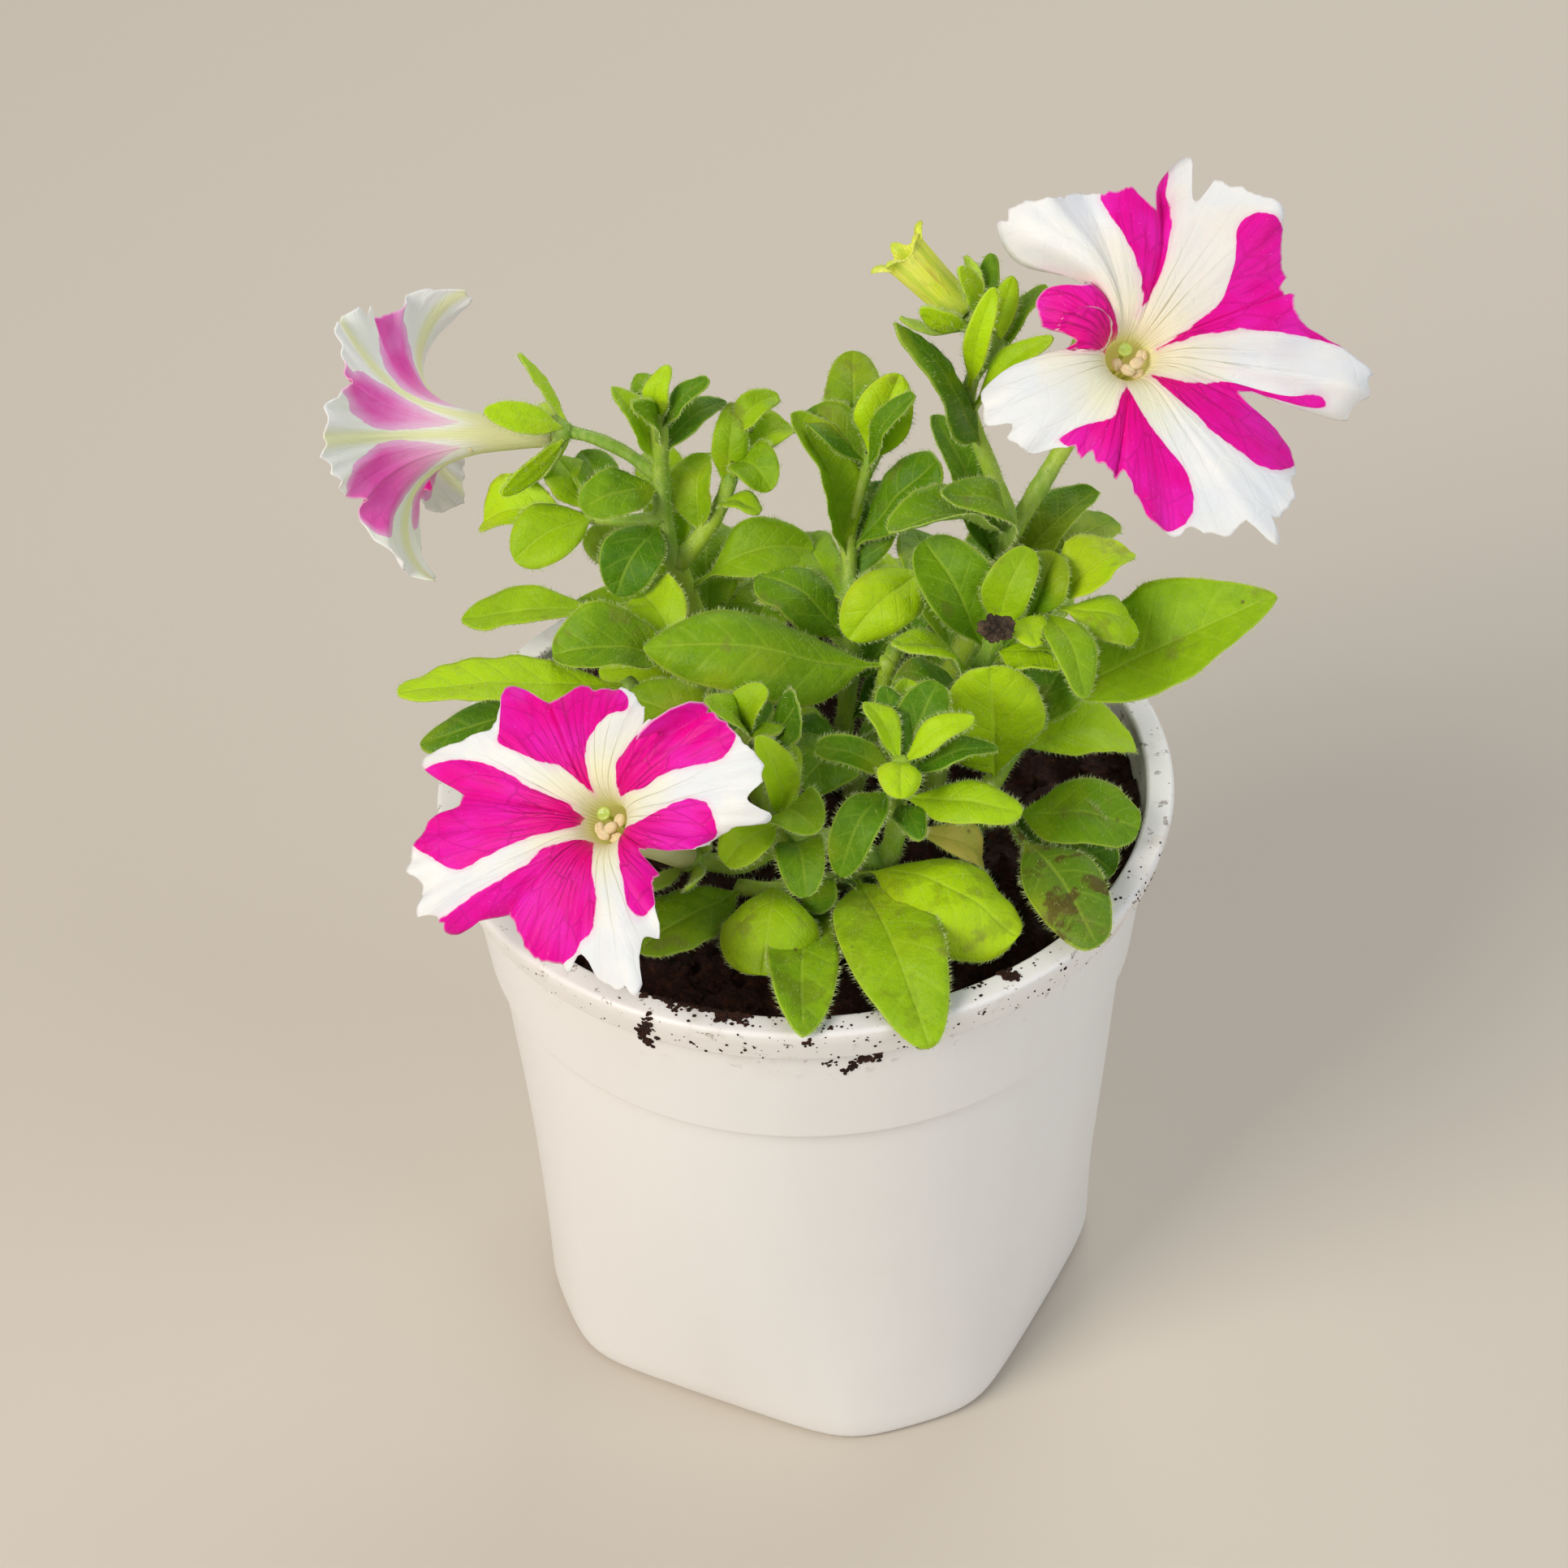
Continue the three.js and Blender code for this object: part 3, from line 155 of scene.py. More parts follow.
# A seam is (turn, fold, curl) and a lobe (rib's turn, spread, curl, edge lengths).
# A sector is a pair of lines, each a list of (share of the way out, turn), with the colour between them.
BLOOMS = {
    "front": {
        "foot": (-20.6, -25.2, 121.2), "facing": (-0.41, -0.53, 0.74),
        "cup": 2.9, "sepal_width": 3.6,
        "sepals": [(20, 12, 22), (92, 11, 25), (164, 12, 20), (236, 11, 24), (308, 12, 26)],
        "tube": 27, "heel": 2.5, "throat": 3.5, "flare": 11, "ruffle": 1.1,
        "bites": [(312, 7, 2.6), (324, 4, 1.6), (200, 5, 1.6), (352, 5, 2.6), (62, 4, 1.6),
                  (46, 6, -3.5), (268, 6, 2.4), (260, 3, -1.5), (289, 3, -2.5), (295.5, 4.5, 3),
                  (358.5, 2.5, -2.5), (5, 3.5, 2.2), (210.5, 3, 1.6), (217, 2.5, -2.8)],
        "lips": [(47, 7, 0.76, -140), (350, 8, 0.75, 90)],
        "seams": [(-31, -6, 60), (53, -12, 30), (117, 4, 20), (170, 4, 20), (226, 0, 30)],
        "lobes": [
            (8, 84, 18, [11, 20, 27, 31, 30, 27]),
            (84, 84, 55, [19.5, 19.5, 21.5, 23.5, 23, 24]),
            (153, 82, 12, [22, 29.5, 25, 29, 33, 34]),
            (207, 80, 20, [26, 32, 35, 35.5, 32, 27]),
            (286, 84, 22, [22, 25.5, 25, 30.5, 24, 18]),
        ],
        "sectors": [
            ([(0.2, 40), (0.3, 27), (0.46, 26), (0.68, 21.5), (0.84, 20), (1, 28)],
             [(0.2, 45), (0.38, 60), (0.46, 69), (0.56, 66), (0.86, 58), (1, 55)]),
            ([(0.15, 330), (0.36, 307), (0.54, 298), (0.68, 296), (0.8, 300), (0.9, 308), (1, 320)],
             [(0.15, 335), (0.28, 346), (0.34, 357), (0.44, 365), (0.66, 365), (0.86, 351), (1, 340)]),
            ([(0.1, 240), (0.16, 225), (0.48, 215), (0.74, 213), (1, 213)],
             [(0.1, 250), (0.2, 264), (0.34, 273), (0.58, 276), (0.82, 268), (0.96, 260), (1, 256)]),
            ([(0.08, 170), (0.14, 160), (0.34, 157.5), (0.56, 155), (0.78, 156.5), (0.96, 164), (1, 165)],
             [(0.08, 190), (0.12, 194.5), (0.3, 196), (0.54, 198.5), (0.72, 199.5), (0.88, 191), (1, 187)]),
            ([(0.15, 110), (0.22, 106), (0.42, 104), (0.64, 94), (0.88, 77), (0.94, 84), (1, 92)],
             [(0.15, 112), (0.24, 117), (0.38, 130), (0.66, 141), (0.92, 141), (1, 131)]),
        ],
    },
    "right": {
        "foot": (49.4, 21.4, 177.7), "facing": (0.18, -0.62, 0.76),
        "cup": 2.9, "sepal_width": 3.6,
        "sepals": [(35, 12, 30), (107, 11, 28), (179, 12, 26), (251, 11, 26), (323, 12, 28)],
        "tube": 27, "heel": 2.5, "throat": 3.6, "flare": 11, "ruffle": 1.3,
        "bites": [(64.2, 3, 5), (72.5, 5, -7), (301.5, 3, -4.5), (297.5, 2.5, 1), (336, 4, 5), (133, 4, -6),
                  (174, 9, 4.5), (208, 3, 2.2), (261, 3, 2.5), (317, 3, 1.5), (283, 3, 1.2), (20, 3, 1.5),
                  (98, 4, 1), (351, 2.2, 1.8), (346.5, 1.8, 1.4), (342, 2, 2)],
        "lips": [(346, 9, 0.78, 60)],
        "slides": [(138, 45, -24, 8, 28), (75.5, 16, -6, 14, 30)],
        "flaps": [(-7.6, 3.7, 4.6, 3.6, 1.6)],
        "seams": [(257, 0, 20), (339, 6, 20), (18, -4, 15), (75.5, 8, 20), (138, -4, 40)],
        "lobes": [
            (297, 82, 12, [22, 28.5, 33, 34.5, 36, 32.5]),
            (350, 84, 22, [24, 39, 42, 42, 36, 29.5]),
            (52, 80, 10, [28.5, 29.5, 34, 34.5, 32.5, 32.5]),
            (110, 86, 24, [25.5, 28.6, 28.8, 28.4, 30, 30.5]),
            (192, 88, 60, [14, 19, 14.5, 27, 26.5, 20]),
        ],
        "sectors": [
            ([(0.25, 255), (0.38, 248), (0.6, 247), (0.68, 238), (0.74, 231), (0.86, 227), (1, 240)],
             [(0.25, 257), (0.34, 269), (0.52, 284), (0.68, 288), (0.84, 285), (0.96, 278), (1, 274)]),
            ([(0.1, 308), (0.18, 306), (0.38, 308.5), (0.66, 311), (0.86, 317), (1, 326)],
             [(0.1, 313), (0.26, 324), (0.64, 341), (0.7, 344.5), (0.8, 344), (0.87, 340), (1, 337)]),
            ([(0.12, 10), (0.2, 10), (0.42, 10), (0.66, 8), (0.84, 3.6), (1, 0)],
             [(0.12, 11), (0.2, 14), (0.44, 24), (0.6, 30), (0.68, 42), (0.86, 46), (0.96, 39), (1, 36)]),
            ([(0.2, 82.5), (0.24, 81.5), (0.36, 74), (0.57, 71.5), (0.7, 70.8), (0.95, 72), (1, 72.5)],
             [(0.2, 83), (0.3, 82), (0.48, 85.5), (0.7, 93), (0.88, 97), (1, 95)]),
            ([(0.05, 136), (1, 137)],
             [(0.05, 172), (0.3, 177), (0.47, 180), (0.62, 178), (0.7, 176), (0.85, 174), (1, 170)]),
        ],
    },
    "left": {
        "foot": (-41, 40.2, 161.6), "facing": (-0.94, 0.285, -0.195),
        "cup": 2.9, "sepal_width": 5.6,
        "sepals": [(15, 11, 40), (85, 11, 55), (160, 11, 40), (232, 11, 36), (300, 11, 48)],
        "tube": 14, "heel": 2.5, "throat": 3.4, "flare": 24, "ruffle": 0.7,
        "seams": [(-40, 0, 20), (24, 0, 20), (84, 0, 20), (150, -24, 0), (238, -20, 20)],
        "lobes": [
            (-5, 66, 20, [25, 28, 31, 32, 31, 28]),
            (50, 64, 20, [27, 30, 32, 32, 31, 28]),
            (112, 62, 105, [27, 30, 33, 36, 32, 24]),
            (200, 76, 30, [16, 23, 29, 31, 29, 22]),
            (274, 64, 95, [15, 21, 29, 33, 31, 28]),
        ],
        "sectors": [
            ([(0.1, seam - 2), (0.3, before + 9), (0.7, before + 12), (0.9, before + 20), (1, seam - 7)],
             [(0.1, seam + 2), (0.3, after - 9), (0.7, after - 12), (0.9, after - 20), (1, seam + 7)])
            for before, seam, after in ((-80, -40, -5), (-5, 24, 50), (50, 84, 112), (130, 150, 190),
                                        (200, 238, 274))
        ],
    },
}

BUD = {
    "foot": (29, 22.3, 196), "facing": (-0.68, 0.28, 0.68),
    "cup": 2.6, "sepal_width": 5.0,
    "sepals": [(20, 8, 24), (92, 7, 26), (164, 8, 24), (236, 8, 30), (308, 8, 26)],
    "tube": 13.5, "heel": 2.8, "throat": 3.6, "flare": 3, "ruffle": 0,
    "seams": [(turn, -20, 95) for turn in (-16, 56, 128, 200, 272)],
    "lobes": [(rib, 30, 110, [0.7, 1.2, 4.2, 1.2]) for rib in (20, 92, 164, 236, 308)],
    "sectors": [],
}

# Leaves that only this scene has, as rows of (stem, how far along it, tip, width, arch, tint). They close
# gaps between the frame's leaves, stand in their shade, and clothe the stems at the back.
SHADE_LEAVES = {
    "left_back_shoot": [
        ("main", 0.36, (-35, 24, 131), 12, 3, 0.1), ("main", 0.30, (-27, 38, 124), 12, 3, 0.0),
        ("main", 0.42, (-16, 50, 136), 12, 3, 0.4), ("main", 0.30, (-3, 40, 129), 12, 3, 0.2),
        ("main", 0.52, (-38, 44, 138), 11, 3, 0.5), ("main", 0.60, (-24, 51, 150), 10, 2, 0.6),
    ],
    "centre_back_shoot": [
        ("main", 0.52, (-7, 26, 141), 12, 3, 0.15), ("main", 0.66, (16, 33, 154), 11, 2, 0.0),
        ("main", 0.40, (27, 30, 133), 13, 3, 0.05), ("main", 0.45, (8, 43, 128), 12, 3, 0.3),
    ],
    "centre_shoot": [("main", 0.45, (-4, -4, 127), 12, 3, 0.0), ("main", 0.62, (20, -7, 134), 10, 3, 0.1)],
    "right_back_shoot": [
        ("main", 0.50, (51, 22, 160), 12, 2, 0.05), ("main", 0.58, (24, 25, 174), 10, 2, 0.1),
        ("main", 0.44, (38, 26, 152), 13, 3, 0.0), ("main", 0.24, (32, 36, 129), 14, 4, 0.3),
        ("main", 0.32, (47, 26, 136), 12, 3, 0.5), ("main", 0.38, (20, 33, 144), 11, 3, 0.2),
    ],
    "left_basal_shoot": [("upper", 0.55, (-15, 0, 131), 10, 2, 0.1)],
    "right_basal_shoot": [("upper", 0.70, (48, 4, 141), 12, 3, 0.1)],
    "back_left_shoot": [
        ("main", 0.97, (-24, 50, 127), 13, 3, 0.7), ("main", 0.85, (-3, 49, 125), 12, 3, 0.5),
        ("main", 0.90, (-40, 38, 126), 12, 3, 0.4),
    ],
    "back_right_shoot": [
        ("main", 0.97, (28, 49, 128), 13, 3, 0.6), ("main", 0.85, (42, 36, 126), 12, 3, 0.4),
        ("main", 0.92, (9, 50, 129), 11, 3, 0.8),
    ],
}

# A stem is (thickness at its start, at its end, path). A leaf is (its stem, how far along it, its tip,
# its width, its arch), and what else sets its shape.
SHOOTS = {
    "left_back_shoot": {
        "blooms": ["left"],
        "stems": {
            "main": (4.2, 3, [(-9, 15, 93), (-13, 22, 112), (-19, 31, 131), (-22.6, 34.3, 142),
                              (-23, 36, 152), (-22.8, 37.8, 167)]),
            "right": (3.6, 2.4, [(-21, 33, 137), (-16.4, 34, 142.5), (-12.6, 35, 149), (-10.5, 36, 156),
                                 (-10, 37.5, 161)]),
            "left": (2.8, 2, [(-22.8, 34.8, 146), (-28, 35, 145.5), (-34, 36, 145.5), (-39, 37.5, 145)]),
            "pedicel": (2.4, 2.2, [(-23, 36.5, 153), (-28.5, 38, 157.7), (-34, 39, 160.6),
                                   (-39, 39.9, 161.8)]),
        },
        "leaves": [
            ("left", 1, (-55.3, 42, 141.6), 11.5, 2),
            ("left", 0.8, (-42.1, 45, 153.5), 10, 2),
            ("left", 0.7, (-49.3, 29, 142.7), 12.5, 2, {"fold": 0.4}),
            ("main", 0.72, (-32.1, 23, 138.6), 11, 3),
            ("main", 0.8, (-36.8, 28, 154.3), 9.5, 2),
            ("left", 0.45, (-37, 47, 152.4), 8, 2),
            ("main", 0.5, (-60.8, 36, 127.5), 9.5, 2, {"stalk": 0.4}),
            ("main", 0.86, (-30.5, 40.5, 170.8), 6, 2),
            ("main", 0.93, (-26.4, 47.5, 168.1), 6.5, 2),
            ("main", 0.98, (-21, 38, 176.5), 5, 2),
            ("main", 0.95, (-14.7, 35.5, 175.4), 5, 1),
            ("main", 0.88, (-11.2, 44, 164.6), 6.5, 2),
            ("main", 0.9, (-27, 31.5, 173.3), 5, 2),
            ("right", 0.25, (-15.4, 42, 155), 9.5, 2, {"roll": -20}),
            ("right", 0.6, (-9.8, 39, 167.3), 6.5, 2),
            ("right", 1, (-2.1, 41, 167.5), 5.5, 3),
            ("right", 0.85, (0.5, 44, 158.1), 8.5, 2),
            ("right", 0.8, (-3.8, 27, 157.5), 8.5, 3),
            ("right", 0.5, (-6.2, 27, 152.5), 6, 2),
            ("main", 0.55, (3, 33.5, 139.5), 11, 4, {"stalk": 0.2}),
        ],
    },
    "centre_back_shoot": {
        "stems": {
            "main": (3.8, 2.4, [(4, 12, 93), (7, 15, 112), (9, 17.5, 133), (9, 22, 143.5), (9.3, 26, 150),
                                (11.5, 28, 157), (13.4, 29, 162)]),
        },
        "leaves": [
            ("main", 0.72, (1.2, 32, 170.4), 11, 2, {"roll": 25, "fold": 0.4}),
            ("main", 0.75, (23, 23.5, 165.1), 12, -1, {"fold": 0.35}),
            ("main", 0.97, (2.4, 36, 167.8), 8.5, 2),
            ("main", 0.98, (18.5, 33, 176.4), 11, 2, {"fold": 0.5}),
            ("main", 0.95, (20.4, 25, 178), 6, 2, {"fold": 0.5}),
            ("main", 0.85, (10.8, 46, 173.4), 11.5, 2),
            ("main", 0.3, (24, 18, 122), 11, 3),
            ("main", 0.62, (-0.1, 44, 135.8), 9.5, 2),
            ("main", 0.55, (-6.5, 34, 131), 12, 4),
        ],
    },
    "centre_shoot": {
        "stems": {
            "main": (4, 3, [(6, 4, 93), (9, 4, 112), (13, 3, 128), (15, 2.5, 139)]),
            "upper": (2.8, 2, [(14.8, 2.6, 137), (19, 6, 148), (22, 8, 155)]),
        },
        "leaves": [
            ("main", 1, (-26.4, -2, 147.3), 17, 3, {"fold": 0.12, "wave": 0.9, "fullest": 0.85,
                                                    "tint": 0.3, "cup": -0.45, "twist": -14, "droop": 0,
                                                    "point": 0.62}),
            ("main", 0.42, (-9, 12, 119), 13, 3),
            ("main", 0.55, (-1, -12, 124), 12, 3),
            ("upper", 1, (7.7, -3, 148.5), 12, 3, {"fullest": 0.8}),
        ],
    },
    "right_back_shoot": {
        "blooms": ["right", "bud"],
        "stems": {
            "main": (4.6, 2.4, [(14, 10, 93), (21, 9, 118), (31, 9, 144), (36, 12, 158), (33.6, 15, 167),
                                (31, 17, 174.3), (29.4, 19, 180.5), (31.2, 20, 186.6), (35.6, 20, 190.2)]),
            "right_pedicel": (3.4, 3, [(35, 11.4, 156), (41.5, 17, 164), (46.5, 21, 171),
                                       (49.1, 22.4, 176.2)]),
            "bud_pedicel": (2.8, 5.0, [(35.3, 20, 189.8), (32.4, 21.1, 192.8), (30, 21.9, 195)]),
        },
        "leaves": [
            ("main", 0.6, (25.5, 1, 177), 9.5, 5),
            ("main", 0.66, (15.7, -1, 171), 12, 3),
            ("main", 0.8, (18.5, 13, 201.5), 11, 2, {"fullest": 0.7}),
            ("main", 0.52, (55, 25, 152), 13, 3),
            ("main", 0.95, (33.8, 29.5, 203), 4.5, 2),
            ("main", 0.9, (33, 17, 204.5), 4.5, 2),
            ("main", 0.97, (37.3, 25, 201.3), 4.5, 2),
            ("main", 0.93, (42.8, 28, 198), 5, 2),
            ("main", 0.86, (42, 14, 197.5), 5, 2),
        ],
    },
    "right_shoot": {
        "stems": {
            "main": (4, 3, [(18, 1, 93), (23, 0, 116), (29.5, -2, 138), (33.3, -3, 148.6)]),
            "right": (2.6, 2, [(32, -2.6, 145), (38, -1.5, 149), (43, -1, 152)]),
        },
        "leaves": [
            ("main", 0.9, (21.8, 5, 163), 13, 2, {"fold": 0.35, "fullest": 1.3}),
            ("main", 0.96, (38.5, 1.5, 163), 8.5, 2, {"fullest": 1.2}),
            ("right", 0.6, (43, 4.5, 160), 11, 2, {"fold": 0.5, "fullest": 1.1}),
            ("right", 0.95, (55.7, 6, 159.1), 11.5, 2),
            ("right", 0.98, (57.4, -3, 147.6), 11.5, 3),
            ("right", 0.8, (47, -20, 148), 8, 4),
            ("right", 0.3, (39.1, -13, 154.5), 9, 3),
            ("main", 0.93, (45.2, -12, 149), 11, 1, {"fold": -0.2}),
            ("main", 0.8, (16, -10.5, 153.8), 9.5, 2, {"fold": 0.5}),
            ("main", 0.74, (15.6, -10, 141.5), 13, 2),
        ],
    },
    "front_shoot": {
        "blooms": ["front"],
        "stems": {
            "main": (4.6, 3.2, [(8, -14, 93), (10, -19, 107), (13, -24.5, 117), (15, -27, 127),
                                (15.1, -28, 136), (16, -29, 143.5)]),
            "side": (4.4, 3.2, [(13, -24.3, 116.5), (6.8, -26, 122), (0.8, -27, 125.4), (-5, -27.2, 124),
                                (-11, -26.6, 120), (-16, -24.5, 118.4), (-19.9, -24.3, 119.9)]),
            "twig": (2.6, 2, [(-2.6, -27, 124.8), (-3.6, -28.5, 129), (-4.3, -29.5, 132)]),
        },
        "leaves": [
            ("main", 0.86, (5, -42, 130), 8, 8),
            ("main", 0.91, (1.7, -24, 143.2), 5.5, 2),
            ("main", 0.97, (10.3, -22, 151), 5.5, 2),
            ("main", 0.93, (13.5, -18.2, 151), 6, 2),
            ("main", 0.99, (15.5, -39, 144), 8, 3),
            ("main", 0.92, (32, -27, 144.5), 6, 2),
            ("main", 0.83, (35.2, -38, 140), 9, 2),
            ("main", 0.97, (28, -26.5, 150.8), 5, 2),
            ("main", 0.79, (18.5, -40, 136), 5.5, 2),
            ("main", 0.88, (22.5, -18.5, 151.4), 8.5, 2, {"fold": 0.1}),
            ("main", 0.74, (17.6, -14, 148.6), 8.5, 2),
            ("main", 0.68, (30.5, -22, 111), 7.5, 5, {"age": 0.95}),
            ("twig", 0.9, (1.8, -40, 139), 9.5, 3, {"fold": 0.2, "fullest": 1.2}),
            ("twig", 0.8, (-14, -38, 130.5), 8.5, 2),
            ("side", 0.5, (-0.4, -42.5, 126.5), 8.5, 4),
            ("twig", 0.45, (-7.5, -24.3, 145.9), 7, 2),
            ("twig", 0.97, (-1.6, -20, 141), 4.5, 2),
        ],
    },
    "centre_left_shoot": {
        "stems": {
            "main": (3.6, 2.6, [(-4, -4, 93), (-6, -8, 110), (-9, -12, 127), (-10.3, -14, 138)]),
        },
        "leaves": [
            ("main", 0.97, (-6, -14.2, 148), 7, 2),
            ("main", 0.9, (-3.5, -21.5, 145), 5, 2),
            ("main", 0.92, (-15, -18.5, 149.2), 8, 2),
            ("main", 0.74, (-30, 0, 136), 15, 2, {"fullest": 0.8}),
            ("main", 0.82, (-1.5, -21, 150.3), 11, -1),
            ("main", 0.85, (-10.5, 3, 137.5), 12, 1),
        ],
    },
    "left_basal_shoot": {
        "stems": {
            "main": (4, 3.2, [(-14, 2, 93), (-18, 4, 110), (-25, 7, 124), (-30, 7.5, 132)]),
            "upper": (3, 2.4, [(-18.3, 4.2, 111), (-20, 9, 124), (-20.5, 13, 134)]),
        },
        "leaves": [
            ("main", 0.98, (-68.2, -3, 140.3), 13.5, 3, {"tint": 0.85}),
            ("main", 0.75, (-66, 2, 125), 11, 3),
            ("upper", 0.95, (-42.5, 8, 139), 14, 3),
            ("upper", 1, (-27, 25, 138), 11, 2),
        ],
    },
    "right_basal_shoot": {
        "stems": {
            "main": (4, 3, [(20, -6, 93), (25, -9, 108), (31, -12, 115), (35, -14, 118.5)]),
            "upper": (3.4, 3, [(26, -9.2, 110), (34, -5, 121), (41, -1, 132.5)]),
        },
        "leaves": [
            ("upper", 1, (80.5, 2, 149.6), 20, 1, {"fold": 0.2, "fullest": 0.85, "wave": 0.8, "tint": 0.45,
                                                   "cup": 0.25, "twist": 8, "droop": -0.03, "point": 0.75}),
            ("upper", 0.6, (57.5, 0, 122), 12, 3),
            ("main", 0.98, (56.2, -21, 120), 14, 3),
            ("main", 0.88, (51.5, -27, 115.8), 13.5, 1),
            ("main", 0.92, (47, -48.5, 118.5), 13, 3, {"stalk": 0.25, "age": 0.1, "blotch": 1, "droop": 0,
                                                       "twist": 10, "point": 0.42, "tint": -0.2}),
            ("upper", 0.4, (32, -13.5, 148.5), 18.5, 2, {"fold": 0.15}),
        ],
    },
    "front_basal_shoot": {
        "stems": {
            "main": (4, 3, [(3, -12, 93), (5, -18, 107), (8, -26, 115)]),
            "left": (3.4, 2.8, [(6, -20.6, 110), (0, -25, 113), (-7, -28, 115), (-12, -27, 115)]),
        },
        "leaves": [
            ("main", 0.98, (18.7, -65.5, 113), 17.5, 7, {"fullest": 0.85, "droop": 0, "twist": 6,
                                                         "cup": -0.1, "point": 0.5, "tint": 0.5,
                                                         "blotch": 0.25}),
            ("left", 0.25, (-1.8, -65, 116.2), 12.5, 3, {"droop": 0, "twist": -8, "point": 0.6,
                                                         "tint": 0.35, "blotch": 0.3, "cup": 0.1}),
            ("left", 0.7, (-8.2, -51, 117), 17, 7, {"fullest": 1.6, "fold": -0.1, "droop": 0.05,
                                                    "twist": 0, "cup": -0.5, "tint": 0.65, "point": 0.3}),
            ("left", 0.93, (-29, -42.5, 115.7), 13.5, 1, {"droop": 0, "tint": 0.3}),
            ("main", 0.88, (35.2, -45.6, 120), 18.5, 8, {"stalk": 0.2, "fold": -0.12, "droop": 0.08,
                                                         "wave": 0.9, "blotch": 0.3, "tint": 0.85,
                                                         "twist": -8, "cup": -0.4, "quilt": 2.5,
                                                         "point": 0.32, "fullest": 1.3}),
            ("left", 0.35, (2.5, -37, 119), 7, 2),
            ("main", 0.72, (10.4, -37.7, 113), 9, 2, {"roll": -40}),
        ],
    },
    "back_left_shoot": {
        "stems": {"main": (3.8, 2.8, [(-5, 20, 93), (-9, 28, 107), (-14, 36, 114)])},
        "leaves": [
            ("main", 1, (-33, 46, 117), 13, 3),
            ("main", 0.95, (-14, 56, 118), 12, 3),
            ("main", 0.7, (-36, 32, 115), 13, 3),
        ],
    },
    "back_right_shoot": {
        "stems": {"main": (3.8, 2.8, [(12, 20, 93), (17, 28, 107), (22, 36, 114)])},
        "leaves": [
            ("main", 1, (38, 44, 119), 12, 3),
            ("main", 0.95, (18, 57, 118), 12, 3),
            ("main", 0.6, (46, 26, 118), 12, 3),
            ("main", 0.8, (5, 50, 117), 12, 3),
        ],
    },
}


# Small helpers for curves and sheets.

def unit(v):
    """The vectors at length 1."""
    v = np.asarray(v, float)
    return v / np.maximum(np.linalg.norm(v, axis=-1, keepdims=True), 1e-9)


def smooth(t):
    """0 to 1 with soft ends."""
    c = np.clip(t, 0, 1)
    return c * c * (3 - 2 * c)


class Path:
    """A smooth curve through points, read by its share of the length."""

    def __init__(self, points):
        p = [np.array(q, float) for q in points]
        p = [2 * p[0] - p[1], *p, 2 * p[-1] - p[-2]]
        fine = []
        for i in range(1, len(p) - 2):
            gaps = [max(float(np.linalg.norm(p[i + k] - p[i + k - 1])) ** 0.5, 1e-4) for k in range(3)]
            start = (p[i] - p[i - 1]) / gaps[0] - (p[i + 1] - p[i - 1]) / (gaps[0] + gaps[1])
            start = (start + (p[i + 1] - p[i]) / gaps[1]) * gaps[1]
            end = (p[i + 1] - p[i]) / gaps[1] - (p[i + 2] - p[i]) / (gaps[1] + gaps[2])
            end = (end + (p[i + 2] - p[i + 1]) / gaps[2]) * gaps[1]
            for t in np.linspace(0, 1, 40, endpoint=False):
                a, b = p[i], p[i + 1]
                fine.append(a + start * t + (3 * (b - a) - 2 * start - end) * t * t
                            + (2 * (a - b) + start + end) * t ** 3)
        fine.append(p[-2])
        self.points = np.array(fine)
        steps = np.linalg.norm(np.diff(self.points, axis=0), axis=1)
        self.shares = np.concatenate([[0], np.cumsum(steps)])
        self.length = float(self.shares[-1])
        self.shares /= self.length

    def at(self, share):
        """Points at one or more shares of the length."""
        share = np.asarray(share, float)
        return np.stack([np.interp(share, self.shares, self.points[:, k]) for k in range(3)], axis=-1)


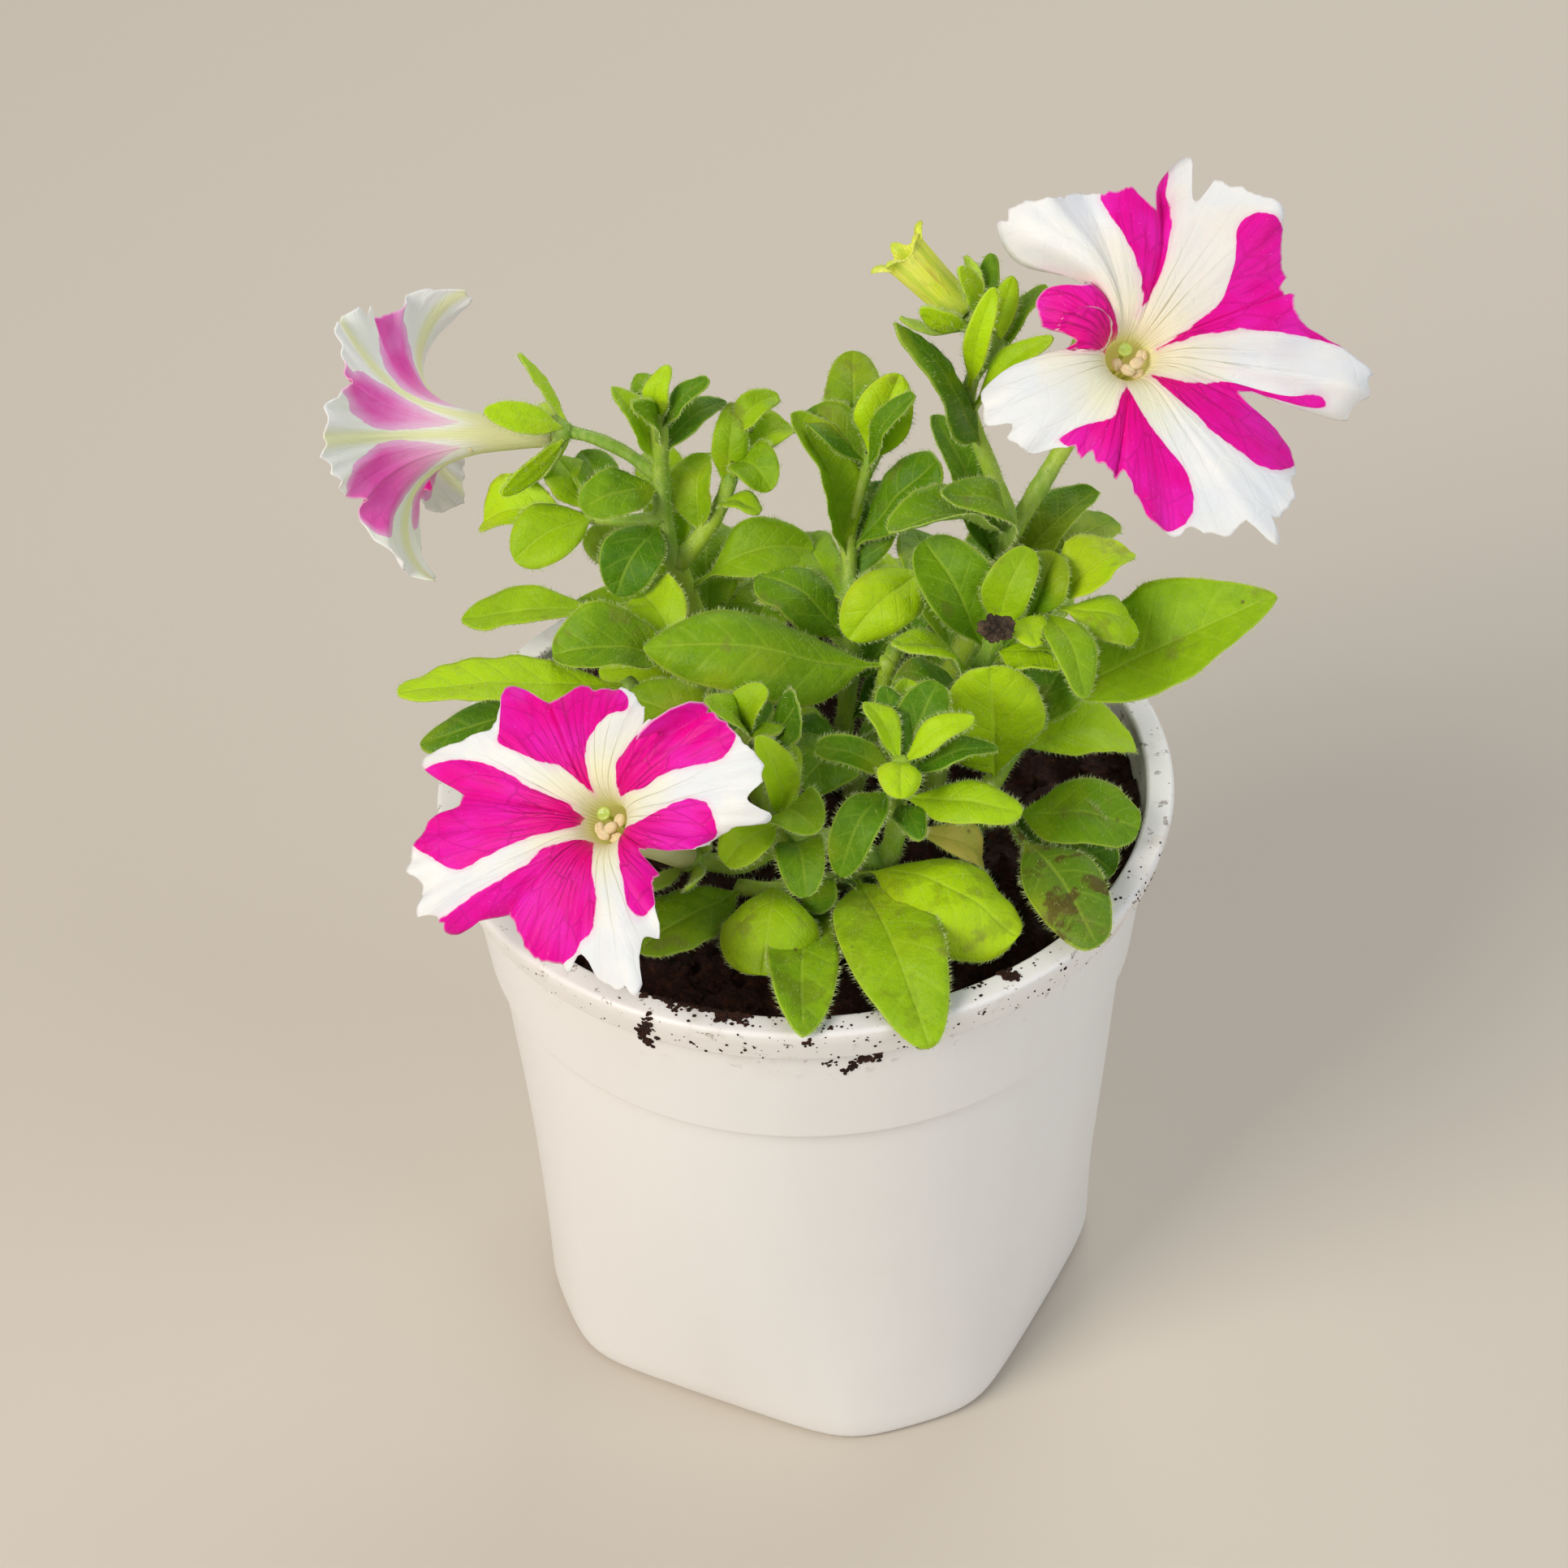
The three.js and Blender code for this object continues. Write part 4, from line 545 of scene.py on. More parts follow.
class Sheaf:
    """Gathers many small surfaces, with their marks, into one mesh."""

    def __init__(self):
        self.points = []
        self.faces = []
        self.slots = []
        self.marks = {}
        self.count = 0

    def add(self, points, faces, **marks):
        """Adds points, their faces by material slot, and marks of three numbers for each point."""
        points = np.asarray(points, float).reshape(-1, 3)
        for slot, groups in faces.items():
            for group in groups:
                self.faces.append(np.asarray(group, int) + self.count)
                self.slots.append(np.full(len(group), slot))
        for name, values in marks.items():
            self.marks.setdefault(name, []).append((self.count, values))
        self.points.append(points)
        self.count += len(points)

    def add_tube(self, rings, tips, slot=0, **marks):
        """Adds rings of points as a closed tube with a tip at each end, and the same marks all over it."""
        rows, sides = rings.shape[:2]
        count = rows * sides
        faces = [grid_faces(rows, sides, closed=True), fan_faces(count, np.arange(sides), True),
                 fan_faces(count + 1, np.arange(count - sides, count))]
        marks = {name: np.tile(values, (count + 2, 1)) for name, values in marks.items()}
        self.add(np.concatenate([rings.reshape(-1, 3), tips]), {slot: faces}, **marks)

    def build(self, name, materials):
        """The mesh as an object, in metres."""
        mesh = bpy.data.meshes.new(name)
        points = np.concatenate(self.points) * MM
        corners = np.concatenate([group.ravel() for group in self.faces]).astype(np.int32)
        sizes = np.concatenate([np.full(len(group), group.shape[1]) for group in self.faces])
        starts = np.concatenate([[0], np.cumsum(sizes)[:-1]]).astype(np.int32)
        mesh.vertices.add(len(points))
        mesh.vertices.foreach_set("co", points.astype(np.float32).ravel())
        mesh.loops.add(len(corners))
        mesh.loops.foreach_set("vertex_index", corners)
        mesh.polygons.add(len(sizes))
        mesh.polygons.foreach_set("loop_start", starts)
        mesh.polygons.foreach_set("material_index", np.concatenate(self.slots).astype(np.int32))
        mesh.polygons.foreach_set("use_smooth", np.ones(len(sizes), bool))
        mesh.update(calc_edges=True)
        for mark, parts in self.marks.items():
            values = np.zeros((len(points), 3), np.float32)
            for start, part in parts:
                values[start:start + len(part)] = part
            layer = mesh.attributes.new(mark, "FLOAT_VECTOR", "POINT")
            layer.data.foreach_set("vector", values.ravel())
        for material in materials:
            mesh.materials.append(material)
        made = bpy.data.objects.new(name, mesh)
        bpy.context.scene.collection.objects.link(made)
        return made


def grid_faces(rows, columns, first=0, closed=False, flip=False):
    """Quads between the points of a grid, with its rows one after another."""
    i, k = np.meshgrid(np.arange(rows - 1), np.arange(columns if closed else columns - 1), indexing="ij")
    a = i * columns + k
    b = i * columns + (k + 1) % columns
    quads = np.stack([a, b, b + columns, a + columns], axis=-1).reshape(-1, 4) + first
    return quads[:, ::-1] if flip else quads


def rim_faces(upper, lower, flip=False):
    """Quads that join two rows of point numbers."""
    upper, lower = np.asarray(upper), np.asarray(lower)
    quads = np.stack([upper[:-1], lower[:-1], lower[1:], upper[1:]], axis=-1)
    return quads[:, ::-1] if flip else quads


def fan_faces(tip, row, flip=False):
    """Triangles from one point to a closed row of point numbers."""
    row = np.asarray(row)
    tris = np.stack([np.full(len(row), tip), row, np.roll(row, -1)], axis=-1)
    return tris[:, ::-1] if flip else tris


def place_of(bloom):
    """Foot, right, rise and axis of a flower."""
    upright = np.array([0, 0.655, 0.756])
    axis = unit(bloom["facing"])
    rise = unit(upright - axis * (upright @ axis))
    return np.array(bloom["foot"], float), np.cross(rise, axis), rise, axis


def wobbler(rng):
    """A smooth wobble between about -1 and 1, which is the same curve at every call."""
    seed = int(rng.integers(1 << 30))

    def wobble(x):
        """The wobble at x."""
        draw = np.random.default_rng(seed)
        total = np.zeros_like(x)
        for _ in range(3):
            total = total + np.sin(x * draw.uniform(0.5, 1.6) + draw.uniform(0, 6.28))
        return total / math.sqrt(3)

    return wobble


# Materials.

class Paint:
    """A material's nodes, written one at a time."""

    def __init__(self, name):
        old = bpy.data.materials.get(name)
        if old:
            bpy.data.materials.remove(old)
        self.material = bpy.data.materials.new(name)
        self.material.use_nodes = True
        self.tree = self.material.node_tree
        self.shader = self.tree.nodes["Principled BSDF"]

    def set(self, **sockets):
        """Sets or links sockets of the shader, by their names with _ for a space."""
        for name, value in sockets.items():
            self.feed(self.shader.inputs[name.replace("_", " ")], value)

    def feed(self, socket, value):
        """Links a socket, or writes its value."""
        if isinstance(value, bpy.types.NodeSocket):
            self.tree.links.new(value, socket)
        elif isinstance(value, (tuple, list)) and len(value) == 3 and socket.type == "RGBA":
            socket.default_value = (*value, 1)
        else:
            socket.default_value = value

    def node(self, kind, inputs=(), **settings):
        """One node, with its inputs by number or name."""
        made = self.tree.nodes.new(kind)
        for name, value in settings.items():
            setattr(made, name, value)
        for key, value in dict(inputs).items():
            self.feed(made.inputs[key], value)
        return made

    def maths(self, operation, a, b=0.0):
        """A sum of one or two numbers."""
        return self.node("ShaderNodeMath", {0: a, 1: b}, operation=operation).outputs[0]

    def times(self, a, b):
        """Two numbers multiplied."""
        return self.maths("MULTIPLY", a, b)

    def plus(self, a, b):
        """Two numbers added."""
        return self.maths("ADD", a, b)

    def sway(self, noise, amount):
        """Noise that goes to both sides of 0, by half an amount."""
        return self.times(self.maths("SUBTRACT", noise, 0.5), amount)

    def off_whole(self, value, shift=0.5):
        """How far a number lies from the nearest whole one. A larger shift keeps it positive on the way."""
        part = self.maths("FRACT", self.plus(value, shift))
        return self.maths("ABSOLUTE", self.maths("SUBTRACT", part, 0.5))

    def stretched(self, way, scale):
        """Coordinates multiplied along each axis."""
        return self.node("ShaderNodeVectorMath", {0: way, 1: scale}, operation="MULTIPLY").outputs[0]

    def span(self, value, low, high, start=0.0, end=1.0):
        """value carried from low..high to start..end, with soft ends."""
        node = self.node("ShaderNodeMapRange", {0: value, 1: low, 2: high, 3: start, 4: end})
        node.interpolation_type = "SMOOTHSTEP"
        return node.outputs[0]

    def blend(self, share, a, b, kind="MIX"):
        """Two colours mixed."""
        node = self.node("ShaderNodeMix", data_type="RGBA", blend_type=kind)
        self.feed(node.inputs["Factor"], share)
        self.feed(node.inputs[6], a)
        self.feed(node.inputs[7], b)
        return node.outputs[2]

    def spots(self, where, scale, detail=3.0, roughness=0.5):
        """Noise between 0 and 1."""
        return self.node("ShaderNodeTexNoise", {"Vector": where, "Scale": scale, "Detail": detail,
                                                "Roughness": roughness}).outputs[0]

    def cells(self, where, scale, feature="F1"):
        """Distance in a pattern of cells."""
        return self.node("ShaderNodeTexVoronoi", {"Vector": where, "Scale": scale},
                         feature=feature).outputs["Distance"]

    def marks(self, name):
        """Three numbers kept at the points."""
        way = self.node("ShaderNodeAttribute", attribute_name=name).outputs["Vector"]
        return way, self.node("ShaderNodeSeparateXYZ", {0: way}).outputs

    def here(self, scale=(1, 1, 1)):
        """Object coordinates."""
        where = self.node("ShaderNodeTexCoord").outputs["Object"]
        return self.node("ShaderNodeMapping", {"Vector": where, "Scale": scale}).outputs[0]

    def bump(self, height, strength, distance, under=None):
        """A surface pressed out by a height."""
        made = self.node("ShaderNodeBump", {"Height": height, "Strength": strength, "Distance": distance})
        if under is not None:
            self.feed(made.inputs["Normal"], under)
        return made.outputs[0]


def leaf_paint(name, settings, underside):
    """Leaf skin: lighter veins, a pale margin, small brown specks, yellow or blotched where it is old."""
    p = Paint(name)
    fresh, deep = tuple(settings.fresh), tuple(settings.deep)
    _, (across, edge, vein) = p.marks("leaf_place")
    _, (tint, age, blotch) = p.marks("leaf_state")
    here = p.here()
    cloud = p.spots(here, 90, 4)
    mottle = p.spots(here, 420, 4, 0.6)
    shade = p.plus(p.times(tint, 0.75), p.times(cloud, 0.3))
    shade = p.plus(shade, p.times(mottle, 0.22))
    green = p.blend(p.span(shade, 0.15, 1.05), deep, fresh)
    side = p.off_whole(vein)
    wander = p.sway(p.spots(here, 700, 2), 0.06)
    side_line = p.span(p.plus(side, wander), 0.035, 0.11, 1, 0)
    side_line = p.times(side_line, p.span(edge, 0.2, 2.2))
    rib_line = p.span(p.maths("ABSOLUTE", across), 0.12, 0.5, 1, 0)
    rib_line = p.times(rib_line, p.span(edge, 1.0, 5.0, 0.25, 1))
    net = p.span(p.cells(here, 620, "DISTANCE_TO_EDGE"), 0.0, 0.12, 1, 0)
    lines = p.maths("MAXIMUM", p.times(side_line, 0.20), p.times(rib_line, 0.42))
    lines = p.maths("MAXIMUM", lines, p.times(net, 0.10))
    pale = (0.50, 0.68, 0.06)
    colour = p.blend(p.times(lines, 0.8 if underside else 0.6), green, pale)
    yellow = p.span(p.spots(here, 55, 2), 0.54, 0.72, 0, 0.3)
    colour = p.blend(yellow, colour, (0.52, 0.58, 0.015))
    margin = p.span(p.plus(edge, p.times(cloud, 0.4)), 0.30, 0.62, 0.4, 0)
    colour = p.blend(margin, colour, (0.56, 0.70, 0.10))
    worn = p.times(age, p.span(p.spots(here, 160, 3), 0.25, 0.6, 0.55, 1))
    colour = p.blend(worn, colour, (0.62, 0.50, 0.09))
    patch = p.span(p.spots(here, 170, 4, 0.6), 0.50, 0.60)
    colour = p.blend(p.times(patch, p.times(blotch, 0.8)), colour, (0.09, 0.045, 0.012))
    dots = p.span(p.cells(here, 230), 0.06, 0.13, 1, 0)
    chosen = p.span(p.spots(here, 70, 2), 0.56, 0.62)
    colour = p.blend(p.times(p.times(dots, chosen), 0.7), colour, (0.10, 0.06, 0.015))
    stain = p.span(p.spots(here, 130, 4, 0.6), 0.60, 0.70, 0, 0.4)
    colour = p.blend(stain, colour, (0.20, 0.17, 0.04))
    if underside:
        colour = p.blend(0.35, colour, (0.40, 0.52, 0.16))
    relief = p.times(p.maths("SUBTRACT", p.spots(here, 650, 4, 0.6), lines), 0.8)
    pores = p.bump(p.spots(here, 3400, 2), 0.5, 0.00015)
    p.set(Base_Color=colour, Roughness=p.span(cloud, 0.2, 0.9, 0.40, 0.58),
          Normal=p.bump(relief, 0.8, 0.0004, pores))
    p.set(Specular_IOR_Level=0.20, Subsurface_Weight=0.25, Subsurface_Scale=0.0012,
          Subsurface_Radius=(0.6, 1.0, 0.08), Sheen_Weight=0.02, Sheen_Roughness=0.45,
          Sheen_Tint=(0.85, 0.95, 0.4))
    return p.material


def stem_paint(settings):
    """Stem skin: pale green with fine lengthwise streaks, a little brown at the foot."""
    p = Paint("stem_skin")
    here = p.here((1, 1, 0.25))
    streak = p.spots(here, 700, 3)
    cloud = p.spots(p.here(), 70, 3)
    green = p.blend(p.span(cloud, 0.3, 0.7), tuple(settings.stem), (0.20, 0.38, 0.03))
    green = p.blend(p.span(streak, 0.4, 0.7, 0, 0.4), green, (0.52, 0.62, 0.16))
    place = p.node("ShaderNodeSeparateXYZ", {0: p.here()}).outputs[2]
    green = p.blend(p.span(place, 0.104, 0.118, 0.7, 0), green, (0.22, 0.17, 0.05))
    p.set(Base_Color=green, Roughness=0.55, Normal=p.bump(streak, 0.5, 0.0002))
    p.set(Subsurface_Weight=0.15, Subsurface_Scale=0.0015, Subsurface_Radius=(0.7, 1.0, 0.2),
          Sheen_Weight=0.08, Sheen_Roughness=0.4, Sheen_Tint=(0.9, 1.0, 0.5))
    return p.material


def grain_paint(name, scale, detail, dark, light, relief=0, **sockets):
    """A paint that goes from dark to light by the grain of its noise, pressed out where it has relief."""
    p = Paint(name)
    grain = p.spots(p.here(), scale, detail)
    p.set(Base_Color=p.blend(grain, dark, light), **sockets)
    if relief:
        p.set(Normal=p.bump(grain, relief, 0.0002))
    return p.material


def hair_paint():
    """Fine hairs: clear white-green, a little glossy."""
    return grain_paint("plant_hair", 500, 2, (0.58, 0.74, 0.20), (0.82, 0.90, 0.50), Roughness=0.45,
                       Subsurface_Weight=0.0, Specular_IOR_Level=0.4)


def petal_paint(name, settings, outside):
    """Petal skin: magenta sectors between white stripes, cream towards the throat, with fanning veins, and a
    throat lit by painted glow inside.
    """
    p = Paint(name)
    way, (_, _, run) = p.marks("petal_way")
    _, (stripe, swing, edge) = p.marks("petal_place")
    here = p.here()
    silk = p.stretched(way, (26, 26, 0.22))
    fan = p.stretched(way, (6, 6, 0.11))
    cloud = p.spots(here, 120, 4)
    fray = p.sway(p.spots(silk, 1.0, 4, 0.6), 0.55)
    wobble = p.sway(p.spots(here, 230, 3), 1.3)
    border = p.plus(stripe, p.plus(fray, wobble))
    coloured = p.span(border, -0.06, 0.18)
    branches = p.span(p.cells(fan, 1.0, "DISTANCE_TO_EDGE"), 0.0, 0.05, 1, 0)
    fine = p.span(p.cells(silk, 1.0, "DISTANCE_TO_EDGE"), 0.0, 0.10, 1, 0)
    wander = p.sway(p.spots(here, 75, 2), 7)
    width = p.times(p.plus(p.times(run, 0.8), 4), TURN)
    rib = p.times(p.maths("ABSOLUTE", swing), width)

    def lines(spacing, thick):
        """Veins that fan out every so many degrees, as thick as given in millimetres."""
        away = p.off_whole(p.maths("DIVIDE", p.plus(swing, wander), spacing), 100.5)
        away = p.times(p.times(away, spacing), width)
        return p.span(away, thick * 0.3, thick, 1, 0)

    near = p.span(run, 2, 17, 1, 0)
    magenta = tuple(settings.magenta)
    pink = p.blend(p.span(cloud, 0.35, 0.75), magenta, (0.84, 0.012, 0.46))
    red = p.blend(p.times(near, 0.8), pink, (0.74, 0.000, 0.11))
    patchy = p.span(p.spots(fan, 1.3, 2), 0.42, 0.60, 0.15, 1)
    dark = p.times(p.times(lines(4.5, 0.22), patchy), p.span(run, 3, 24, 0.9, 0.28))
    dark = p.maths("MAXIMUM", dark, p.times(branches, p.span(run, 5, 26, 0.55, 0.22)))
    dark = p.maths("MAXIMUM", dark, p.times(fine, 0.05))
    streak = p.span(p.spots(silk, 1.0, 4, 0.6), 0.35, 0.72, 0, 0.30)
    red = p.blend(streak, red, (0.62, 0.001, 0.21))
    red = p.blend(dark, red, (0.30, 0.000, 0.10))
    glint = p.span(p.spots(here, 2600, 2), 0.66, 0.76, 0, 0.25)
    red = p.blend(glint, red, (0.95, 0.25, 0.66))
    white = p.blend(p.span(cloud, 0.3, 0.7), tuple(settings.white), (0.80, 0.81, 0.86))
    cream = p.span(p.plus(run, p.times(cloud, 8)), 5, 24, 1, 0)
    white = p.blend(p.times(cream, 0.9), white, tuple(settings.cream))
    peach = p.span(p.spots(here, 42, 2), 0.5, 0.68, 0, 0.45)
    white = p.blend(peach, white, (0.88, 0.74, 0.60))
    middle = p.span(p.maths("ABSOLUTE", swing), 10, 14, 1, 0)
    faint = p.span(p.spots(here, 110, 2), 0.35, 0.6, 0.3, 1)
    olive = p.times(p.times(lines(9, 0.15), middle), p.span(run, 6, 27, 0.65, 0.05))
    olive = p.times(olive, faint)
    olive = p.maths("MAXIMUM", olive, p.times(lines(4.5, 0.13), p.span(run, 1, 9, 0.4, 0)))
    white = p.blend(olive, white, (0.34, 0.30, 0.10))
    if outside:
        lilac = p.blend(p.span(cloud, 0.3, 0.8), (0.90, 0.09, 0.45), (0.92, 0.26, 0.62))
        lilac = p.blend(p.times(branches, 0.2), lilac, (0.74, 0.06, 0.32))
        lilac = p.blend(p.span(border, 0.2, 2.2, 0.55, 0), lilac, (0.93, 0.62, 0.86))
        lilac = p.blend(p.span(run, 2, 18, 0.75, 0), lilac, (0.90, 0.66, 0.80))
        pale = p.blend(p.span(cloud, 0.3, 0.7), (0.95, 0.95, 0.86), (0.94, 0.93, 0.93))
        rib_band = p.span(rib, 0.4, 2.8, 0.85, 0)
        shell = p.blend(coloured, p.blend(rib_band, pale, (0.86, 0.88, 0.40)), lilac)
        colour = p.blend(p.span(run, -8, 7, 1, 0), shell, (0.70, 0.74, 0.34))
        colour = p.blend(p.times(lines(7, 0.3), p.span(run, -4, 16, 0.3, 0)), colour, (0.56, 0.42, 0.30))
    else:
        fringe = p.span(border, -1.1, 0.1, 0, 0.35)
        colour = p.blend(coloured, p.blend(fringe, white, (0.86, 0.42, 0.66)), red)
        # Inside the tube, painted light: the throat colour is made lighter and the throat glows by emission,
        # standing in for light that shines through the thin tube walls into its shade.
        inner = p.blend(p.times(lines(9, 0.3), 0.45), tuple(settings.throat), (0.30, 0.17, 0.06))
        colour = p.blend(p.span(run, -3.0, 3.4, 1, 0), colour, inner)
        # Painted glow: the throat is no lamp; this emission stands in for light coming through the tube.
        p.set(Emission_Color=p.blend(0.5, inner, (0.62, 0.58, 0.14)),
              Emission_Strength=p.span(run, -1.0, 4.5, 0.30, 0.0))
    hem = p.span(edge, 0.12, 0.4, 0.3, 0)
    colour = p.blend(hem, colour, (0.84, 0.72, 0.74))
    relief = p.plus(p.times(p.spots(silk, 1.0, 3), 0.8), p.times(branches, -0.2))
    p.set(Base_Color=colour, Roughness=p.span(cloud, 0.2, 0.8, 0.42, 0.56),
          Normal=p.bump(relief, 0.5, 0.0004, p.bump(p.spots(here, 3000, 2), 0.15, 0.0001)))
    p.set(Specular_IOR_Level=0.12, Subsurface_Weight=0.45 if outside else 0.2, Subsurface_Scale=0.002,
          Subsurface_Radius=(1.0, 0.6, 0.8), Sheen_Weight=0.03, Sheen_Roughness=0.5,
          Sheen_Tint=(1.0, 0.9, 0.95))
    return p.material


def bud_paint(settings):
    """The young flower's skin: yellow-green with greener ribs."""
    p = Paint("young_petal_skin")
    way, (_, _, run) = p.marks("petal_way")
    _, (_, swing, _) = p.marks("petal_place")
    cloud = p.spots(p.here(), 200, 3)
    silk = p.stretched(way, (9, 9, 0.2))
    lines = p.span(p.cells(silk, 1.0, "DISTANCE_TO_EDGE"), 0, 0.12, 1, 0)
    rib_line = p.span(p.maths("ABSOLUTE", swing), 3, 14, 1, 0)
    colour = p.blend(p.span(cloud, 0.3, 0.7), tuple(settings.bud), (0.86, 0.88, 0.16))
    colour = p.blend(p.maths("MAXIMUM", p.times(rib_line, 0.55), p.times(lines, 0.3)),
                     colour, (0.42, 0.62, 0.03))
    stain = p.times(p.span(p.spots(silk, 0.7, 3), 0.58, 0.66), p.span(run, -11, -5))
    colour = p.blend(p.times(stain, 0.5), colour, (0.55, 0.34, 0.06))
    colour = p.blend(p.span(run, -12, -6, 0.5, 0), colour, (0.52, 0.72, 0.05))
    p.set(Base_Color=colour, Roughness=0.5, Normal=p.bump(lines, 0.4, 0.0003))
    p.set(Subsurface_Weight=0.4, Subsurface_Scale=0.002, Subsurface_Radius=(1.0, 1.0, 0.3))
    return p.material


def plastic_paint(settings):
    """Pot plastic: white and semi-gloss, with faint flow marks, scuffs and dust."""
    p = Paint("pot_plastic")
    here = p.here()
    flow = p.spots(p.here((1, 1, 0.12)), 60, 3)
    cloud = p.spots(here, 18, 4)
    colour = p.blend(p.span(flow, 0.3, 0.7, 0, 0.35), tuple(settings.plastic), (0.80, 0.77, 0.74))
    colour = p.blend(p.span(cloud, 0.5, 0.8, 0, 0.25), colour, (0.74, 0.68, 0.62))
    height = p.node("ShaderNodeSeparateXYZ", {0: here}).outputs[2]
    high = p.span(height, 0.098, 0.112)
    dust = p.times(p.span(p.spots(here, 420, 5, 0.65), 0.60, 0.68), high)
    colour = p.blend(p.times(dust, 0.75), colour, (0.13, 0.075, 0.045))
    smudge = p.times(p.span(p.spots(here, 95, 4, 0.6), 0.56, 0.72), high)
    colour = p.blend(p.times(smudge, 0.35), colour, (0.45, 0.33, 0.24))
    scratch = p.span(p.spots(p.here((0.25, 0.25, 1.6)), 900, 2), 0.66, 0.74)
    rough = p.plus(p.span(cloud, 0.2, 0.8, 0.30, 0.44), p.times(scratch, 0.2))
    relief = p.plus(p.times(flow, 0.7), p.times(scratch, -0.3))
    p.set(Base_Color=colour, Roughness=rough, Normal=p.bump(relief, 0.12, 0.0006))
    p.set(Specular_IOR_Level=0.5, Subsurface_Weight=0.12, Subsurface_Scale=0.004,
          Subsurface_Radius=(1.0, 0.9, 0.8))
    return p.material


def soil_paint(settings):
    """Moist soil: nearly black, with lighter fibres and grains."""
    p = Paint("potting_soil")
    here = p.here()
    grain = p.spots(here, 700, 5, 0.7)
    fibre = p.span(p.spots(p.here((1, 3, 1)), 900, 3), 0.62, 0.72)
    colour = p.blend(p.span(grain, 0.40, 0.75), tuple(settings.soil), (0.075, 0.022, 0.010))
    colour = p.blend(p.times(fibre, 0.5), colour, (0.15, 0.045, 0.020))
    p.set(Base_Color=colour, Roughness=p.span(p.spots(here, 300, 3), 0.3, 0.7, 0.55, 0.95),
          Normal=p.bump(grain, 0.9, 0.0012))
    p.set(Specular_IOR_Level=0.2)
    return p.material


def anther_paint():
    """Anthers: cream, powdery with pollen."""
    return grain_paint("anther_pollen", 3500, 3, (0.72, 0.52, 0.26), (0.90, 0.78, 0.52), 0.8,
                       Roughness=0.85, Subsurface_Weight=0.2, Subsurface_Scale=0.001)


def thread_paint():
    """Threads of the stamens: pale yellow-green."""
    return grain_paint("stamen_thread", 600, 2, (0.66, 0.70, 0.28), (0.80, 0.80, 0.46),
                       Roughness=0.5, Subsurface_Weight=0.2, Subsurface_Scale=0.001)


def stigma_paint():
    """The pistil: green and moist."""
    return grain_paint("pistil_green", 900, 3, (0.36, 0.50, 0.05), (0.58, 0.68, 0.16), 0.4,
                       Roughness=0.3, Subsurface_Weight=0.2, Subsurface_Scale=0.001)


def withered_paint():
    """The dry scrap: brown, streaked and papery."""
    p = Paint("withered_petal")
    tone = p.spots(p.here(), 420, 5, 0.7)
    colour = p.blend(p.span(tone, 0.35, 0.75), (0.020, 0.011, 0.006), (0.17, 0.105, 0.06))
    p.set(Base_Color=colour, Roughness=0.9, Normal=p.bump(tone, 1.0, 0.0008))
    return p.material


# Shapes of the plant.

# The mark of a surface with no veins of its own: (from the midrib, from the edge, place among the veins).
FAR_FROM_VEINS = (5, 5, 0.5)


